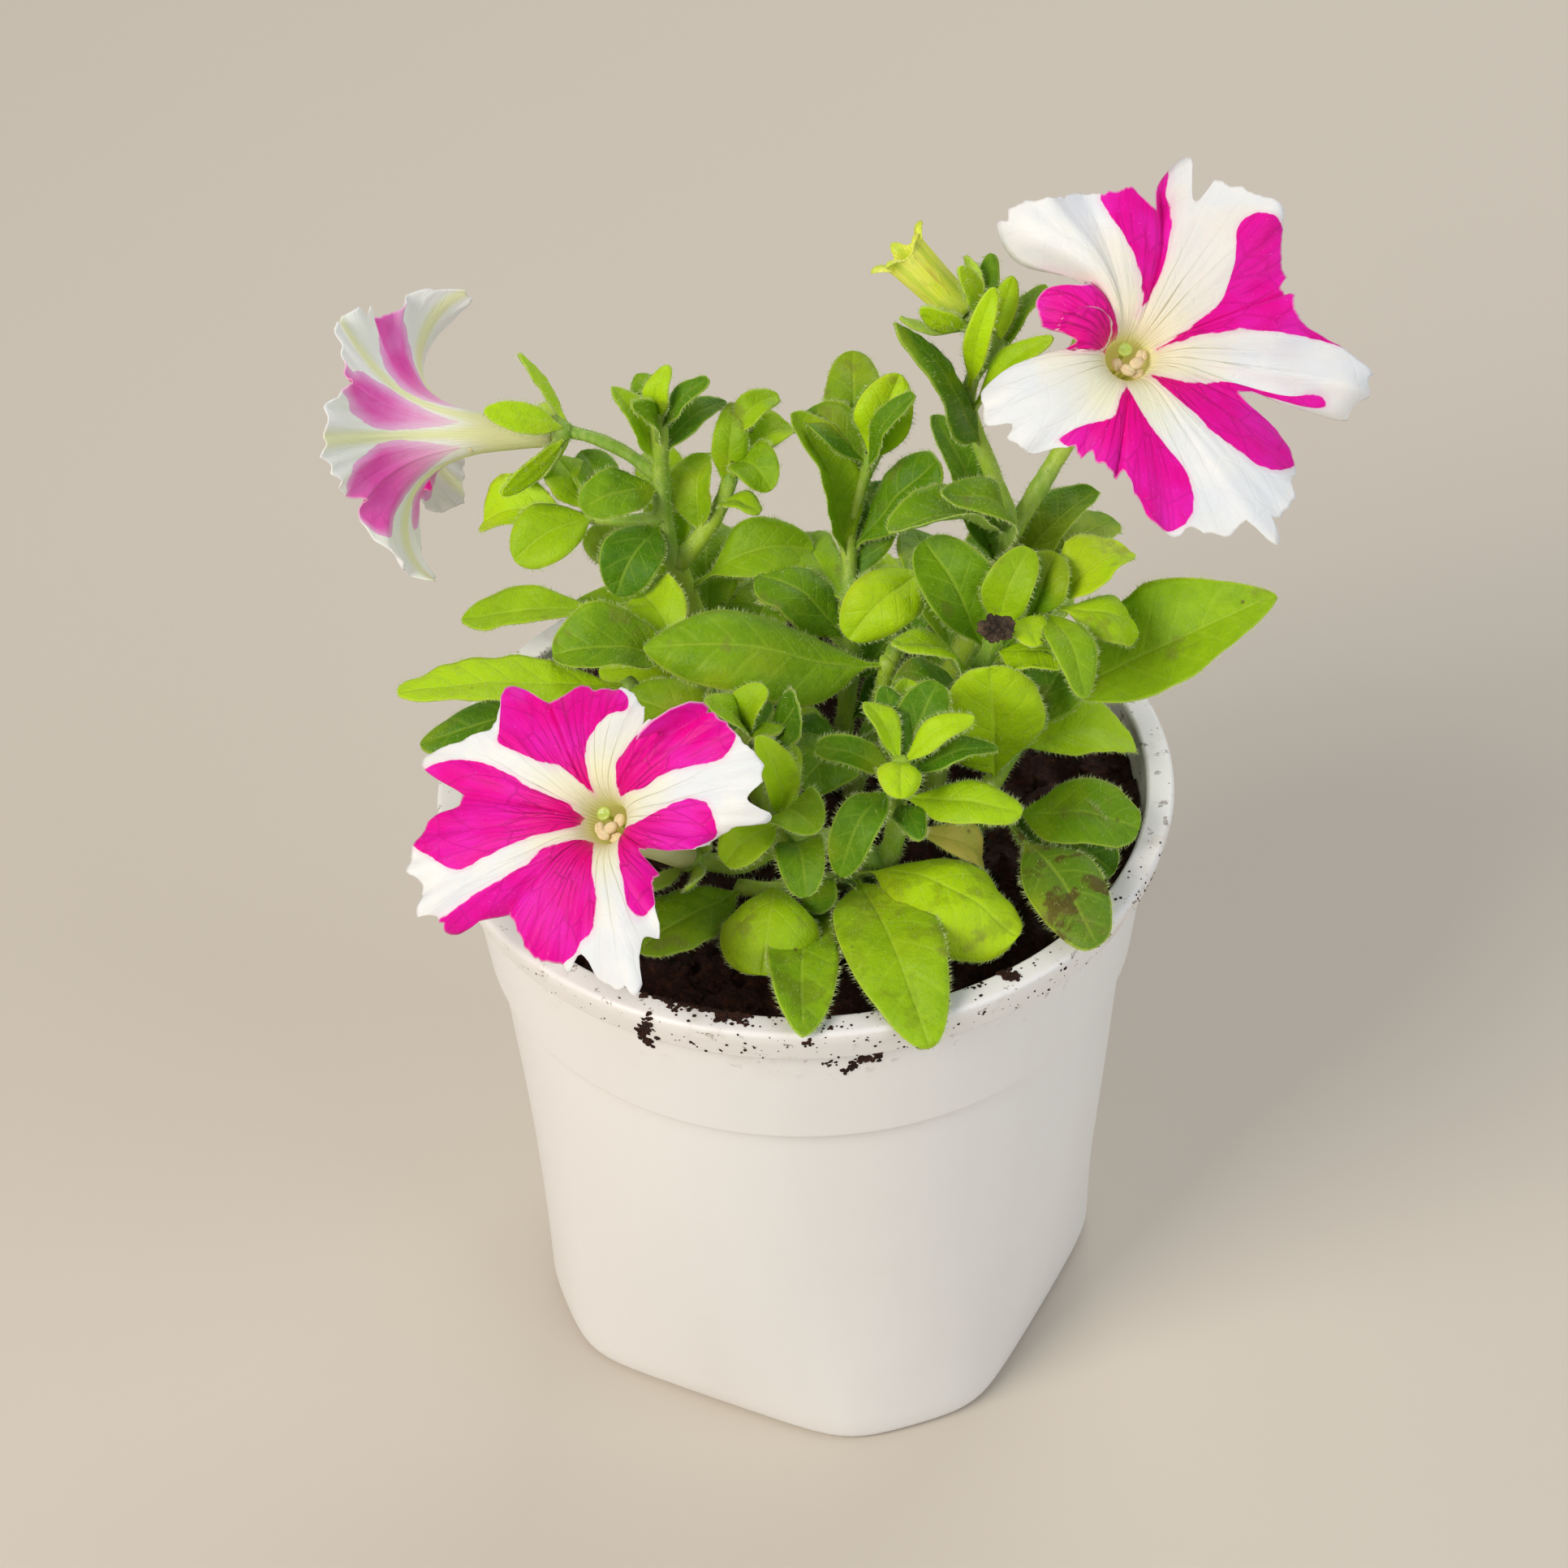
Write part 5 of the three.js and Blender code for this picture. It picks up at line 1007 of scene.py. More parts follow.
def blade_sheet(spine, face, width, shape, rows, ribs, thick):
    """A leaf-shaped sheet along a curve of three points: both faces, their marks, its ways out and aside."""
    fold = shape.get("fold", 0.25)
    wave = shape.get("wave", 0.3)
    stalk = shape.get("stalk", 0.1)
    fullest = shape.get("fullest", 1.05)
    point = shape.get("point", BLADE["point"])
    a, b, c = (np.array(q, float) for q in spine)
    along = np.sin(np.pi / 2 * np.linspace(0, 1, rows + 1)) ** BLADE["crowding"]
    s = along[:, None]
    centre = (1 - s) ** 2 * a + 2 * s * (1 - s) * b + s ** 2 * c
    ahead = unit(2 * (1 - s) * (b - a) + 2 * s * (c - b))
    out = unit(face - ahead * (ahead @ face)[:, None])
    side = np.cross(ahead, out)
    length = float(np.linalg.norm(c - a))
    centre = centre - out * (shape.get("droop", 0) * length * smooth((s - 0.45) / 0.55) ** 2)
    centre = centre + side * (shape.get("sway", 0) * length * np.sin(np.pi * s))
    centre = centre - out * (shape.get("sag", 0) * length * np.sin(2 * np.pi * s) * (1 - s))
    turn = shape.get("twist", 0) * TURN * smooth(s)
    out, side = out * np.cos(turn) + side * np.sin(turn), side * np.cos(turn) - out * np.sin(turn)
    open_ = np.clip((along - stalk) / (1 - stalk), 0, 1)
    bluntness = BLADE["base"] + (point - BLADE["base"]) * smooth(along * 1.3)
    outline = 0.5 * width * np.sin(np.pi * open_ ** fullest).clip(0) ** bluntness
    stem = BLADE["tip_half"] * np.clip((1 - along) * 14, 0.08, 1)
    half = np.maximum(outline, stem)
    half = half * (1 + 0.025 * shape["wobble"](along * 9))
    u = np.linspace(-1, 1, 2 * ribs + 1)
    u = np.sign(u) * np.abs(u) ** 1.25
    reach = np.abs(u)[None, :]
    pairs = np.clip(length / 3.6, 3, 7)
    vein = along[:, None] * pairs - reach * half[:, None] / max(length, 1) * pairs * 0.9
    vein = vein + 0.16 * shape["wobble"](along[:, None] * 7 + 3 * np.sign(u)) + 0.5 * (u[None, :] > 0)
    relief = 0.085 * np.cos(2 * np.pi * vein) * np.clip(half[:, None] / 4, 0, 1)
    relief = relief * (reach * (1.25 - reach)) * 3
    groove = -0.15 * np.exp(-(u[None, :] * half[:, None] / 0.45) ** 2) * np.clip(half[:, None] / 3, 0, 1)
    crease = (np.sqrt(reach ** 2 + 0.012) - 0.11) * half[:, None] * fold
    shift = np.where(u > 0, 0.0, BLADE["wave_shift"])[None, :]
    flutter = wave * reach * np.sin(along[:, None] * BLADE["waves"] + shift)
    frill = 0.035 * half[:, None] * reach ** 3 * shape["wobble"](along[:, None] * 26 + shift * 3)
    curl = (shape.get("cup", 0) - 0.05) * half[:, None] * reach ** 3
    dimple = 0.16 * shape["wobble"](along[:, None] * 14 + 2.2 * u) * np.clip(half[:, None] / 5, 0, 1)
    dimple = dimple * shape.get("quilt", 1)
    lift = crease + flutter + frill + curl - relief + groove + dimple
    points = centre[:, None] + side[:, None] * (half[:, None] * u * math.cos(fold))[..., None]
    points = points + out[:, None] * lift[..., None]
    thickness = thick / 2 * (1 - 0.6 * reach ** 3) * np.ones_like(half)[:, None]
    rib = 0.40 * np.exp(-(u[None, :] * half[:, None] / 0.55) ** 2) * np.clip(1.15 - along, 0, 1)[:, None]
    top = points + out[:, None] * thickness[..., None]
    bottom = points - out[:, None] * (thickness + rib)[..., None]
    place = np.stack([half[:, None] * u, half[:, None] * (1 - reach), vein], axis=-1)
    return top, bottom, place, out, side


def add_sheet(sheaf, top, bottom, slots, place, state):
    """Closes two like grids to one thin body."""
    rows, columns = top.shape[:2]
    count = rows * columns
    numbers = np.arange(2 * count)
    upper, lower = numbers[:count].reshape(rows, columns), numbers[count:].reshape(rows, columns)
    points = np.concatenate([top.reshape(-1, 3), bottom.reshape(-1, 3)])
    marks = {"leaf_place": np.concatenate([place.reshape(-1, 3)] * 2),
             "leaf_state": np.tile(np.asarray(state, float), (2 * count, 1))}
    over = [grid_faces(rows, columns),
            rim_faces(upper[:, 0], lower[:, 0], True), rim_faces(upper[:, -1], lower[:, -1]),
            rim_faces(upper[0], lower[0]), rim_faces(upper[-1], lower[-1], True)]
    sheaf.add(points, {slots[0]: over, slots[1]: [grid_faces(rows, columns, count, flip=True)]}, **marks)


class Down:
    """Gathers hairs: each is a root, a direction and a length."""

    def __init__(self, rng, settings):
        self.rng = rng
        self.roots = []
        self.ways = []
        self.longs = []
        self.mean = settings.hair_length / MM
        self.radius = settings.hair_radius / MM
        self.density = settings.hair_density

    def add(self, roots, ways, scale=1.0):
        """Hairs at roots, along ways bent a little at random."""
        ways = unit(unit(ways) + self.rng.normal(0, 0.28, ways.shape))
        self.roots.append(roots)
        self.ways.append(ways)
        self.longs.append(self.mean * scale * self.rng.uniform(0.5, 1.5, len(roots)))

    def on_grid(self, grid, outs, density, scale=1.0):
        """Hairs spread over a grid of points, thick or thin by area."""
        a, b, c = grid[:-1, :-1], grid[1:, :-1], grid[:-1, 1:]
        area = np.linalg.norm(np.cross(b - a, c - a), axis=-1)
        counts = self.rng.poisson(area * density)
        i, k = np.nonzero(counts)
        repeat = counts[i, k]
        i, k = np.repeat(i, repeat), np.repeat(k, repeat)
        s, t = self.rng.random((2, len(i), 1))
        p = grid[i, k] * (1 - s) * (1 - t) + grid[i + 1, k] * s * (1 - t)
        p = p + grid[i, k + 1] * (1 - s) * t + grid[i + 1, k + 1] * s * t
        self.add(p, outs[i, k], scale)

    def on_edge(self, line, outs, density, scale=1.0):
        """Hairs along a line of points."""
        steps = np.linalg.norm(np.diff(line, axis=0), axis=1)
        counts = self.rng.poisson(steps * density)
        i = np.repeat(np.arange(len(steps)), counts)
        s = self.rng.random((len(i), 1))
        self.add(line[i] * (1 - s) + line[i + 1] * s, outs[i], scale)

    def build(self, name, material):
        """All hairs as one mesh of slender three-sided spikes."""
        roots, ways = np.concatenate(self.roots), np.concatenate(self.ways)
        longs = np.concatenate(self.longs)[:, None]
        other = np.where(np.abs(ways[:, 2:3]) < 0.8, np.array([[0, 0, 1.0]]), np.array([[1.0, 0, 0]]))
        right = unit(np.cross(ways, other))
        up = np.cross(ways, right)
        corners = [roots + self.radius * (right * math.cos(turn) + up * math.sin(turn)) - ways * 0.05
                   for turn in (0, 2.094, 4.189)]
        points = np.stack([*corners, roots + ways * longs], axis=1).reshape(-1, 3)
        first = 4 * np.arange(len(roots))[:, None, None]
        faces = first + np.array([[0, 1, 3], [1, 2, 3], [2, 0, 3], [0, 2, 1]])
        sheaf = Sheaf()
        sheaf.add(points, {0: [faces.reshape(-1, 3)]})
        return sheaf.build(name, [material])


def add_stem(sheaf, down, path, start, end, slot):
    """A stem with faint swellings and hairs all round it."""
    sides = 14
    steps = max(10, int(path.length / 1.6))
    shares = np.linspace(0, 1, steps + 1)
    centre = path.at(shares)
    ahead = unit(np.gradient(centre, axis=0))
    normal = unit(np.cross(ahead[0], [0.3, 0.9, 0.1]))
    normals = []
    for way in ahead:
        normal = unit(normal - way * (way @ normal))
        normals.append(normal)
    normals = np.array(normals)
    others = np.cross(ahead, normals)
    swelling = 1 + 0.05 * np.sin(shares * path.length * 0.7) + 0.03 * np.sin(shares * path.length * 2.3)
    radius = (start + (end - start) * shares) * swelling
    turn = np.linspace(0, 2 * np.pi, sides, endpoint=False)
    outs = normals[:, None] * np.cos(turn)[:, None] + others[:, None] * np.sin(turn)[:, None]
    ridge = 1 + 0.05 * np.cos(3 * turn)[None, :, None]
    rings = centre[:, None] + outs * radius[:, None, None] * ridge
    tips = np.stack([centre[0], centre[-1] + ahead[-1] * end * 0.5])
    sheaf.add_tube(rings, tips, slot, leaf_place=FAR_FROM_VEINS, leaf_state=(0.5, 0, 0))
    wrapped = np.concatenate([rings, rings[:, :1]], axis=1)
    faces_out = np.concatenate([outs, outs[:, :1]], axis=1)
    keep = centre[:, 2] > SOIL_LEVEL
    if keep.sum() > 2:
        down.on_grid(wrapped[keep], faces_out[keep], down.density * 2.6)


def add_leaf(sheaf, down, base, tip, width, arch, shape, rng):
    """A leaf from its place on the stem to its tip, with its hairs."""
    roll = shape.get("roll", 0) * TURN
    base, tip = np.array(base, float), np.array(tip, float)
    chord = unit(tip - base)
    face = np.array([0, -0.3, 1])
    face = unit(face - chord * (face @ chord))
    face = face * math.cos(roll) + np.cross(chord, face) * math.sin(roll)
    middle = (base + tip) / 2 + face * 2 * arch
    look = {"wobble": wobbler(rng), "twist": rng.uniform(-30, 30), "droop": rng.uniform(0, 0.10),
            "sway": rng.uniform(-0.04, 0.04), "cup": rng.uniform(-0.42, 0.40),
            "fullest": rng.uniform(0.95, 1.35), "point": rng.uniform(0.34, 0.52),
            "sag": rng.uniform(0, 0.07), **shape}
    long = float(np.linalg.norm(tip - base))
    rows = int(np.clip(long * 1.3, 16, 40))
    ribs = int(np.clip(width * 0.7, 5, 11))
    top, bottom, place, out, side = blade_sheet([base, middle, tip], face, width, look, rows, ribs, 0.5)
    state = (shape.get("tint", rng.uniform(-0.05, 1.0)), shape.get("age", 0), shape.get("blotch", 0))
    add_sheet(sheaf, top, bottom, (0, 1), place, state)
    hairs_on_sheet(down, top, bottom, out, side, 1.0)


def hairs_on_sheet(down, top, bottom, out, side, thick):
    """Hairs on both faces and along both edges of a sheet."""
    outs = np.broadcast_to(out[:, None], top.shape)
    down.on_grid(top, outs, down.density * 0.6 * thick, 0.6)
    down.on_grid(bottom, -outs, down.density * 0.8 * thick, 0.8)
    for column, way in ((0, -1), (-1, 1)):
        edge = (top[:, column] + bottom[:, column]) / 2
        down.on_edge(edge, side * way + out * 0.25, 5.5 * thick, 0.95)


def add_calyx(sheaf, down, bloom, rng):
    """The cup under a flower and its five sepals."""
    foot, right, rise, axis = place_of(bloom)
    cup, deep = bloom["cup"], CALYX["cup_deep"]
    sides = 24
    turn = np.linspace(0, 2 * np.pi, sides, endpoint=False)
    profile = [(CALYX["cup_foot"] * 0.9, -deep - GAP - 0.1), (CALYX["cup_foot"] * 1.15, -deep - GAP + 0.4),
               (cup * 0.82, -deep * 0.55), (cup, -GAP - 0.5), (cup * 0.93, -GAP)]
    rings = []
    for radius, height in profile:
        ribbed = radius * (1 + 0.06 * np.cos(5 * turn))
        rings.append(foot + np.outer(ribbed * np.cos(turn), right) + np.outer(ribbed * np.sin(turn), rise)
                     + axis * height)
    rings = np.array(rings)
    tips = np.stack([foot + axis * (-deep - GAP - 0.3), foot - axis * GAP])
    sheaf.add_tube(rings, tips, 2, leaf_place=FAR_FROM_VEINS, leaf_state=(0.8, 0, 0))
    wrapped = np.concatenate([rings, rings[:, :1]], axis=1)
    down.on_grid(wrapped, wrapped - foot, down.density * 3)
    for angle, long, spread in bloom["sepals"]:
        way = right * math.cos(angle * TURN) + rise * math.sin(angle * TURN)
        start = foot + way * CALYX["cup_foot"] + axis * CALYX["sepal_start"]
        hip = foot + way * (cup + CALYX["hip_out"]) + axis * CALYX["hip_height"]
        end = foot + way * (cup + CALYX["tip_out"] + long * math.sin(spread * TURN))
        end = end + axis * long * math.cos(spread * TURN)
        look = {"wobble": wobbler(rng), "fold": -0.1, "wave": 0, "stalk": 0, "fullest": 1.3}
        top, bottom, place, out, side = blade_sheet([start, hip, end], -way, bloom["sepal_width"], look,
                                                    20, 5, 0.6)
        add_sheet(sheaf, top, bottom, (1, 0), place, (0.85, 0, 0))
        hairs_on_sheet(down, top, bottom, out, side, 1.6)


def ring_of(bloom, per_lobe):
    """Every column of a flower: its turn, length, spread, curl, ruffle, and its turn from the rib."""
    lobes, seams = bloom["lobes"], bloom["seams"]
    lengths = np.concatenate([lobe[3] for lobe in lobes])
    count, each = len(lobes), len(lobes[0][3])
    off = np.tile(np.linspace(-1, 1, per_lobe, endpoint=False), count)
    number = np.repeat(np.arange(count), per_lobe)
    after = off >= 0
    seam = np.array(seams, float)[np.where(after, (number + 1) % count, number)]
    own = np.array([lobe[:3] for lobe in lobes], float)[number]
    other = np.array([lobe[:3] for lobe in lobes], float)[np.where(after, (number + 1) % count, number - 1)]
    swing = np.where(off == 0, 0, ((seam[:, 0] - own[:, 0]) * np.sign(off)) % 360)
    blend = smooth(np.abs(off))
    spot = (number + (off + 1) / 2) * each
    base = np.floor(spot).astype(int)
    f = spot - base
    p = [lengths[(base + k) % len(lengths)] for k in (-1, 0, 1, 2)]
    long = 0.5 * (2 * p[1] + (p[2] - p[0]) * f + (2 * p[0] - 5 * p[1] + 4 * p[2] - p[3]) * f ** 2
                  + (3 * p[1] - p[0] - 3 * p[2] + p[3]) * f ** 3)
    return {
        "turn": own[:, 0] + off * swing, "long": long,
        "spread": own[:, 1] * (1 - blend) + ((own[:, 1] + other[:, 1]) / 2 + seam[:, 1]) * blend,
        "curl": own[:, 2] * (1 - blend) + seam[:, 2] * blend,
        "ruffle": bloom["ruffle"] * np.sin(2 * np.pi * off + number * 1.9),
        "off": off, "swing": off * swing, "number": number,
    }


def ring_ripple(turn, rng, waves, low, high):
    """A smooth seeded wobble that closes round a ring: low and high are its fewest and most waves."""
    total = np.zeros_like(turn)
    for _ in range(waves):
        total = total + np.sin(turn * TURN * rng.integers(low, high) + rng.uniform(0, 6.28))
    return total / math.sqrt(waves)


def away_from(turn, spot):
    """How far turns lie from a spot on a ring, in degrees."""
    return np.abs((turn - spot + 180) % 360 - 180)


def slid(bloom, turn, run):
    """Turns of the columns, moved sideways near some seams so that a lobe hangs over its neighbour."""
    moved = np.broadcast_to(turn, run.shape)
    for spot, wide, shift, start, end in bloom.get("slides", []):
        near = smooth(1 - away_from(turn, spot) / wide)
        moved = moved + shift * near * (1 - smooth((run - start) / (end - start)))
    return moved


def torn_hem(turn, rng, depth, bites):
    """What the hem lacks: round bites between pointed teeth, in three sizes, and the listed ones."""
    torn = np.zeros_like(turn)
    for spacing, deep in ((13, 1.7), (5, 0.6), (2, 0.22)):
        ends = np.cumsum(np.concatenate([[0], spacing * rng.uniform(0.4, 1.8, int(360 / spacing))]))
        ends *= 360 / ends[-1]
        depths = deep * rng.uniform(0.1, 1, len(ends)) ** 1.6
        i = np.clip(np.searchsorted(ends, turn % 360, "right") - 1, 0, len(ends) - 2)
        share = (turn % 360 - ends[i]) / (ends[i + 1] - ends[i])
        torn += depths[i] * np.sin(np.pi * share).clip(0) ** 0.8
    torn *= depth
    for spot, wide, deep in bites:
        torn += deep * np.clip(1 - (away_from(turn, spot) / wide) ** 2, 0, 1) ** 0.7
    return torn


def eased(line, at):
    """A soft curve through (share, turn) points, read at shares."""
    x, y = (np.array(values, float) for values in zip(*line))
    slope = np.gradient(y, x)
    i = np.clip(np.searchsorted(x, at) - 1, 0, len(x) - 2)
    wide = x[i + 1] - x[i]
    t = np.clip((at - x[i]) / wide, 0, 1)
    near = (1 + 2 * t) * (1 - t) ** 2 * y[i] + t * (1 - t) ** 2 * wide * slope[i]
    return near + t * t * (3 - 2 * t) * y[i + 1] + t * t * (t - 1) * wide * slope[i + 1]


def stripe_map(bloom, turn, part, radius):
    """Signed distance in millimetres from the border of the coloured sectors, positive inside them."""
    best = np.full(np.broadcast(turn, part).shape, -9.0)
    for lower, upper in bloom["sectors"]:
        low = eased(lower, part)
        high = eased(upper, part)
        middle = (low + high) / 2
        away = (turn - middle + 180) % 360 - 180
        inside = ((high - low) / 2 - np.abs(away)) * TURN * radius
        start = (part - lower[0][0]) * 26
        best = np.maximum(best, np.minimum(inside, start))
    return best


def funnel_grid(bloom, per_lobe, tube_rows, limb_rows, rng, depth):
    """The middle surface of a flower's funnel, and the marks of its points."""
    ring = ring_of(bloom, per_lobe)
    count = len(ring["turn"])
    throat, tube, heel = bloom["throat"], bloom["tube"], bloom["heel"]
    long = ring["long"]
    torn = torn_hem(ring["turn"], rng, depth, bloom.get("bites", []))
    squeeze = np.clip(0.8 * long / np.maximum(torn, 0.05), 1.2, 14)
    shares = np.linspace(0.03, 1, tube_rows)
    radius = [np.full(count, heel + (throat - heel) * s ** FUNNEL["tube_swell"]) for s in shares]
    height = [np.full(count, tube * s) for s in shares]
    parts = np.linspace(0, 1, limb_rows + 1)[1:] ** 0.92
    sway = ring_ripple(ring["turn"], rng, 4, 9, 22)
    frill = ring_ripple(ring["turn"], rng, 4, 24, 52)
    pleat = ring_ripple(ring["turn"], rng, 6, 30, 75)
    steps = FUNNEL["steps"]
    reaches = []
    for part in parts:
        reach = long * part - torn * part ** squeeze
        reaches.append(reach)
        r, h = np.full(count, float(throat)), np.full(count, float(tube))
        for step in range(steps):
            run = reach * (step + 0.5) / steps
            bend = smooth(run / bloom["flare"])
            lean = FUNNEL["tube_lean"] * (1 - bend) + ring["spread"] * bend
            lean = lean + ring["curl"] * (run / long) ** FUNNEL["curl_growth"]
            for spot, wide, start, curl in bloom.get("lips", []):
                near = smooth(1 - away_from(ring["turn"], spot) / wide)
                lean = lean + curl * near * smooth((run / long - start) / FUNNEL["lip"])
            lean = lean * TURN
            r = r + np.sin(lean) * reach / steps
            h = h + np.cos(lean) * reach / steps
        h = h + ring["ruffle"] * part ** 2 + depth * (0.75 * sway * part ** 3 + 0.42 * frill * part ** 6)
        h = h + depth * 0.08 * pleat * part ** 0.7 * (1 - 0.5 * part)
        seam = np.exp(-((1 - np.abs(ring["off"])) / 0.05) ** 2)
        h = h - 0.5 * depth * seam * part ** 0.5
        rib = np.exp(-(ring["off"] / 0.04) ** 2)
        h = h - 0.3 * depth * rib * (1 - part)
        radius.append(r)
        height.append(h)
    radius, height = np.array(radius), np.array(height)
    run_of = np.concatenate([np.repeat(((shares - 1) * tube)[:, None], count, axis=1), np.array(reaches)])
    turn = slid(bloom, ring["turn"], run_of)
    across, upward = radius * np.cos(turn * TURN), radius * np.sin(turn * TURN)
    part_of = np.clip(run_of / long, 0, 1)
    stripe = stripe_map(bloom, ring["turn"][None, :], part_of, radius)
    for x, y, wide, tall, lift in bloom.get("flaps", []):
        away = np.hypot((across - x) / wide, (upward - y) / tall)
        height = height + lift * smooth((1 - away) / 0.16) * smooth((radius - throat) / 5)
        stripe = np.minimum(stripe, np.abs(away - 0.98) * wide - 0.16)
    foot, right, rise, axis = place_of(bloom)
    points = foot + across[..., None] * right + upward[..., None] * rise + height[..., None] * axis
    swing = np.broadcast_to(ring["swing"], radius.shape)
    edge = run_of[-1] - run_of
    way = np.stack([np.cos(turn * TURN), np.sin(turn * TURN), run_of], axis=-1)
    place = np.stack([stripe, swing, edge], axis=-1)
    return points, way, place, (foot, axis)


def add_funnel(sheaf, bloom, rng, per_lobe=88, tube_rows=8, limb_rows=40, thick=0.32, depth=1.0):
    """A flower's funnel as one thin closed body."""
    points, way, place, (foot, axis) = funnel_grid(bloom, per_lobe, tube_rows, limb_rows, rng, depth)
    rows, count = points.shape[:2]
    up = np.gradient(points, axis=0)
    round_ = np.roll(points, -1, axis=1) - np.roll(points, 1, axis=1)
    out = unit(np.cross(round_, up))
    share = np.linspace(0, 1, rows)[:, None, None]
    wall = thick / 2 * (1 - 0.45 * share ** 4)
    outside, inside = points + out * wall, points - out * wall
    size = rows * count
    numbers = np.arange(2 * size)
    outer, inner = numbers[:size].reshape(rows, count), numbers[size:].reshape(rows, count)
    tips = np.stack([foot, foot + axis])
    allpoints = np.concatenate([outside.reshape(-1, 3), inside.reshape(-1, 3), tips])
    marks = {
        "petal_way": np.concatenate([way.reshape(-1, 3)] * 2 + [np.array([[0, 0, -bloom["tube"]]] * 2)]),
        "petal_place": np.concatenate([place.reshape(-1, 3)] * 2 + [np.array([[-9.0, 9, 30]] * 2)]),
    }
    hem_outer = np.append(outer[-1], outer[-1][0])
    hem_inner = np.append(inner[-1], inner[-1][0])
    shell = [grid_faces(rows, count, closed=True), fan_faces(2 * size, outer[0], True),
             rim_faces(hem_outer, hem_inner, True)]
    lining = [grid_faces(rows, count, size, closed=True, flip=True), fan_faces(2 * size + 1, inner[0])]
    sheaf.add(allpoints, {1: shell, 0: lining}, **marks)


def only(piece):
    """Selects one piece alone and makes it active."""
    for other in bpy.context.view_layer.objects:
        other.select_set(False)
    piece.select_set(True)
    bpy.context.view_layer.objects.active = piece


def stand_for(piece, slot, *nodes):
    """Ties a piece to the frame."""
    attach(piece, "root")
    if nodes:
        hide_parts(*nodes)


# One operator for each piece or group of like pieces.

# Each light: its name, place and size in metres, power in watts and colour.
LIGHTS = [
    ("key_light", (-0.85, -0.75, 0.95), 0.7, 15.5, (1.0, 0.94, 0.85)),
    ("fill_light", (0.95, -0.65, 0.65), 1.0, 5.5, (0.86, 0.93, 1.0)),
    ("back_light", (0.35, 0.90, 0.85), 0.8, 5, (1.0, 0.98, 0.94)),
]
LIGHTS_AIM = (0, 0, 0.12)
SKY_COLOUR, SKY_STRENGTH = (0.93, 0.96, 1.0, 1), 0.33

# Where the camera stood for the photograph, in metres and degrees.
CAMERA = {"place": (0, -0.63485, 0.66451), "pan": -0.331, "tilt": 40.921, "roll": -2.259}


class PETUNIA_OT_stage(bpy.types.Operator):
    """Lay the floor, hang the lights and set the camera"""

    bl_idname = "petunia.stage"
    bl_label = "Stage"

    def execute(self, context):
        settings = context.scene.petunia_stage
        bpy.ops.object.select_all(action="DESELECT")
        bpy.ops.mesh.primitive_plane_add(size=6, location=(0, 0, 0))
        floor = context.active_object
        floor.name = "studio_floor"
        p = Paint("studio_floor")
        tone = p.spots(p.here(), 3, 3)
        colour = tuple(settings.floor)
        p.set(Base_Color=p.blend(tone, colour, tuple(c * 0.97 for c in colour)), Roughness=0.85)
        floor.data.materials.append(p.material)
        for name, place, size, power, colour in LIGHTS:
            lamp = bpy.data.lights.new(name, "AREA")
            lamp.size = size
            lamp.energy = power
            lamp.color = colour
            holder = bpy.data.objects.new(name, lamp)
            holder.location = place
            aim = Vector(LIGHTS_AIM) - Vector(place)
            holder.rotation_euler = aim.to_track_quat("-Z", "Y").to_euler()
            context.scene.collection.objects.link(holder)
        world = bpy.data.worlds.new("studio_air")
        world.use_nodes = True
        sky = world.node_tree.nodes["Background"]
        sky.inputs[0].default_value = SKY_COLOUR
        sky.inputs[1].default_value = SKY_STRENGTH
        context.scene.world = world
        self.set_camera(context, settings.lens)
        context.scene.view_settings.view_transform = "Standard"
        return {"FINISHED"}

    def set_camera(self, context, lens):
        """The camera stands as it did for the photograph."""
        pan, tilt, roll = (CAMERA[key] * TURN for key in ("pan", "tilt", "roll"))
        ahead = Vector((math.sin(pan) * math.cos(tilt), math.cos(pan) * math.cos(tilt), -math.sin(tilt)))
        right = Vector((math.cos(pan), -math.sin(pan), 0))
        up = right.cross(ahead)
        across = right * math.cos(roll) + up * math.sin(roll)
        upward = up * math.cos(roll) - right * math.sin(roll)
        data = bpy.data.cameras.new("photo_camera")
        data.sensor_width = 36
        data.lens = lens
        camera = bpy.data.objects.new("photo_camera", data)
        turn = Matrix((across, upward, -ahead)).transposed()
        camera.matrix_world = Matrix.Translation(CAMERA["place"]) @ turn.to_4x4()
        context.scene.collection.objects.link(camera)
        context.scene.camera = camera


def foot_outline(turn):
    """Distance of the pot's foot from the axis: four main flats with four cut corners between them."""
    total = 0.0
    for k in range(8):
        reach = math.cos(turn - (POT["flat_facing"] + 45 * k) * TURN)
        if reach > 0.3:
            total += (reach / (POT["corner_flat"] if k % 2 else POT["side_flat"])) ** POT["square_sharpness"]
    return total ** (-1 / POT["square_sharpness"])


def press_flats(mesh):
    """Presses the flats into the foot of a turned mesh, in metres."""
    for vertex in mesh.vertices:
        x, y, z = vertex.co / MM
        radius = math.hypot(x, y)
        if radius < 1 or z > POT["square_top"]:
            continue
        fade = (1 - max(z, 0) / POT["square_top"]) ** POT["square_fade"]
        pressed = (foot_outline(math.atan2(y, x)) - POT["foot_radius"]) * fade
        scale = 1 + pressed * min(1, radius / 40) / radius
        vertex.co.x *= scale
        vertex.co.y *= scale


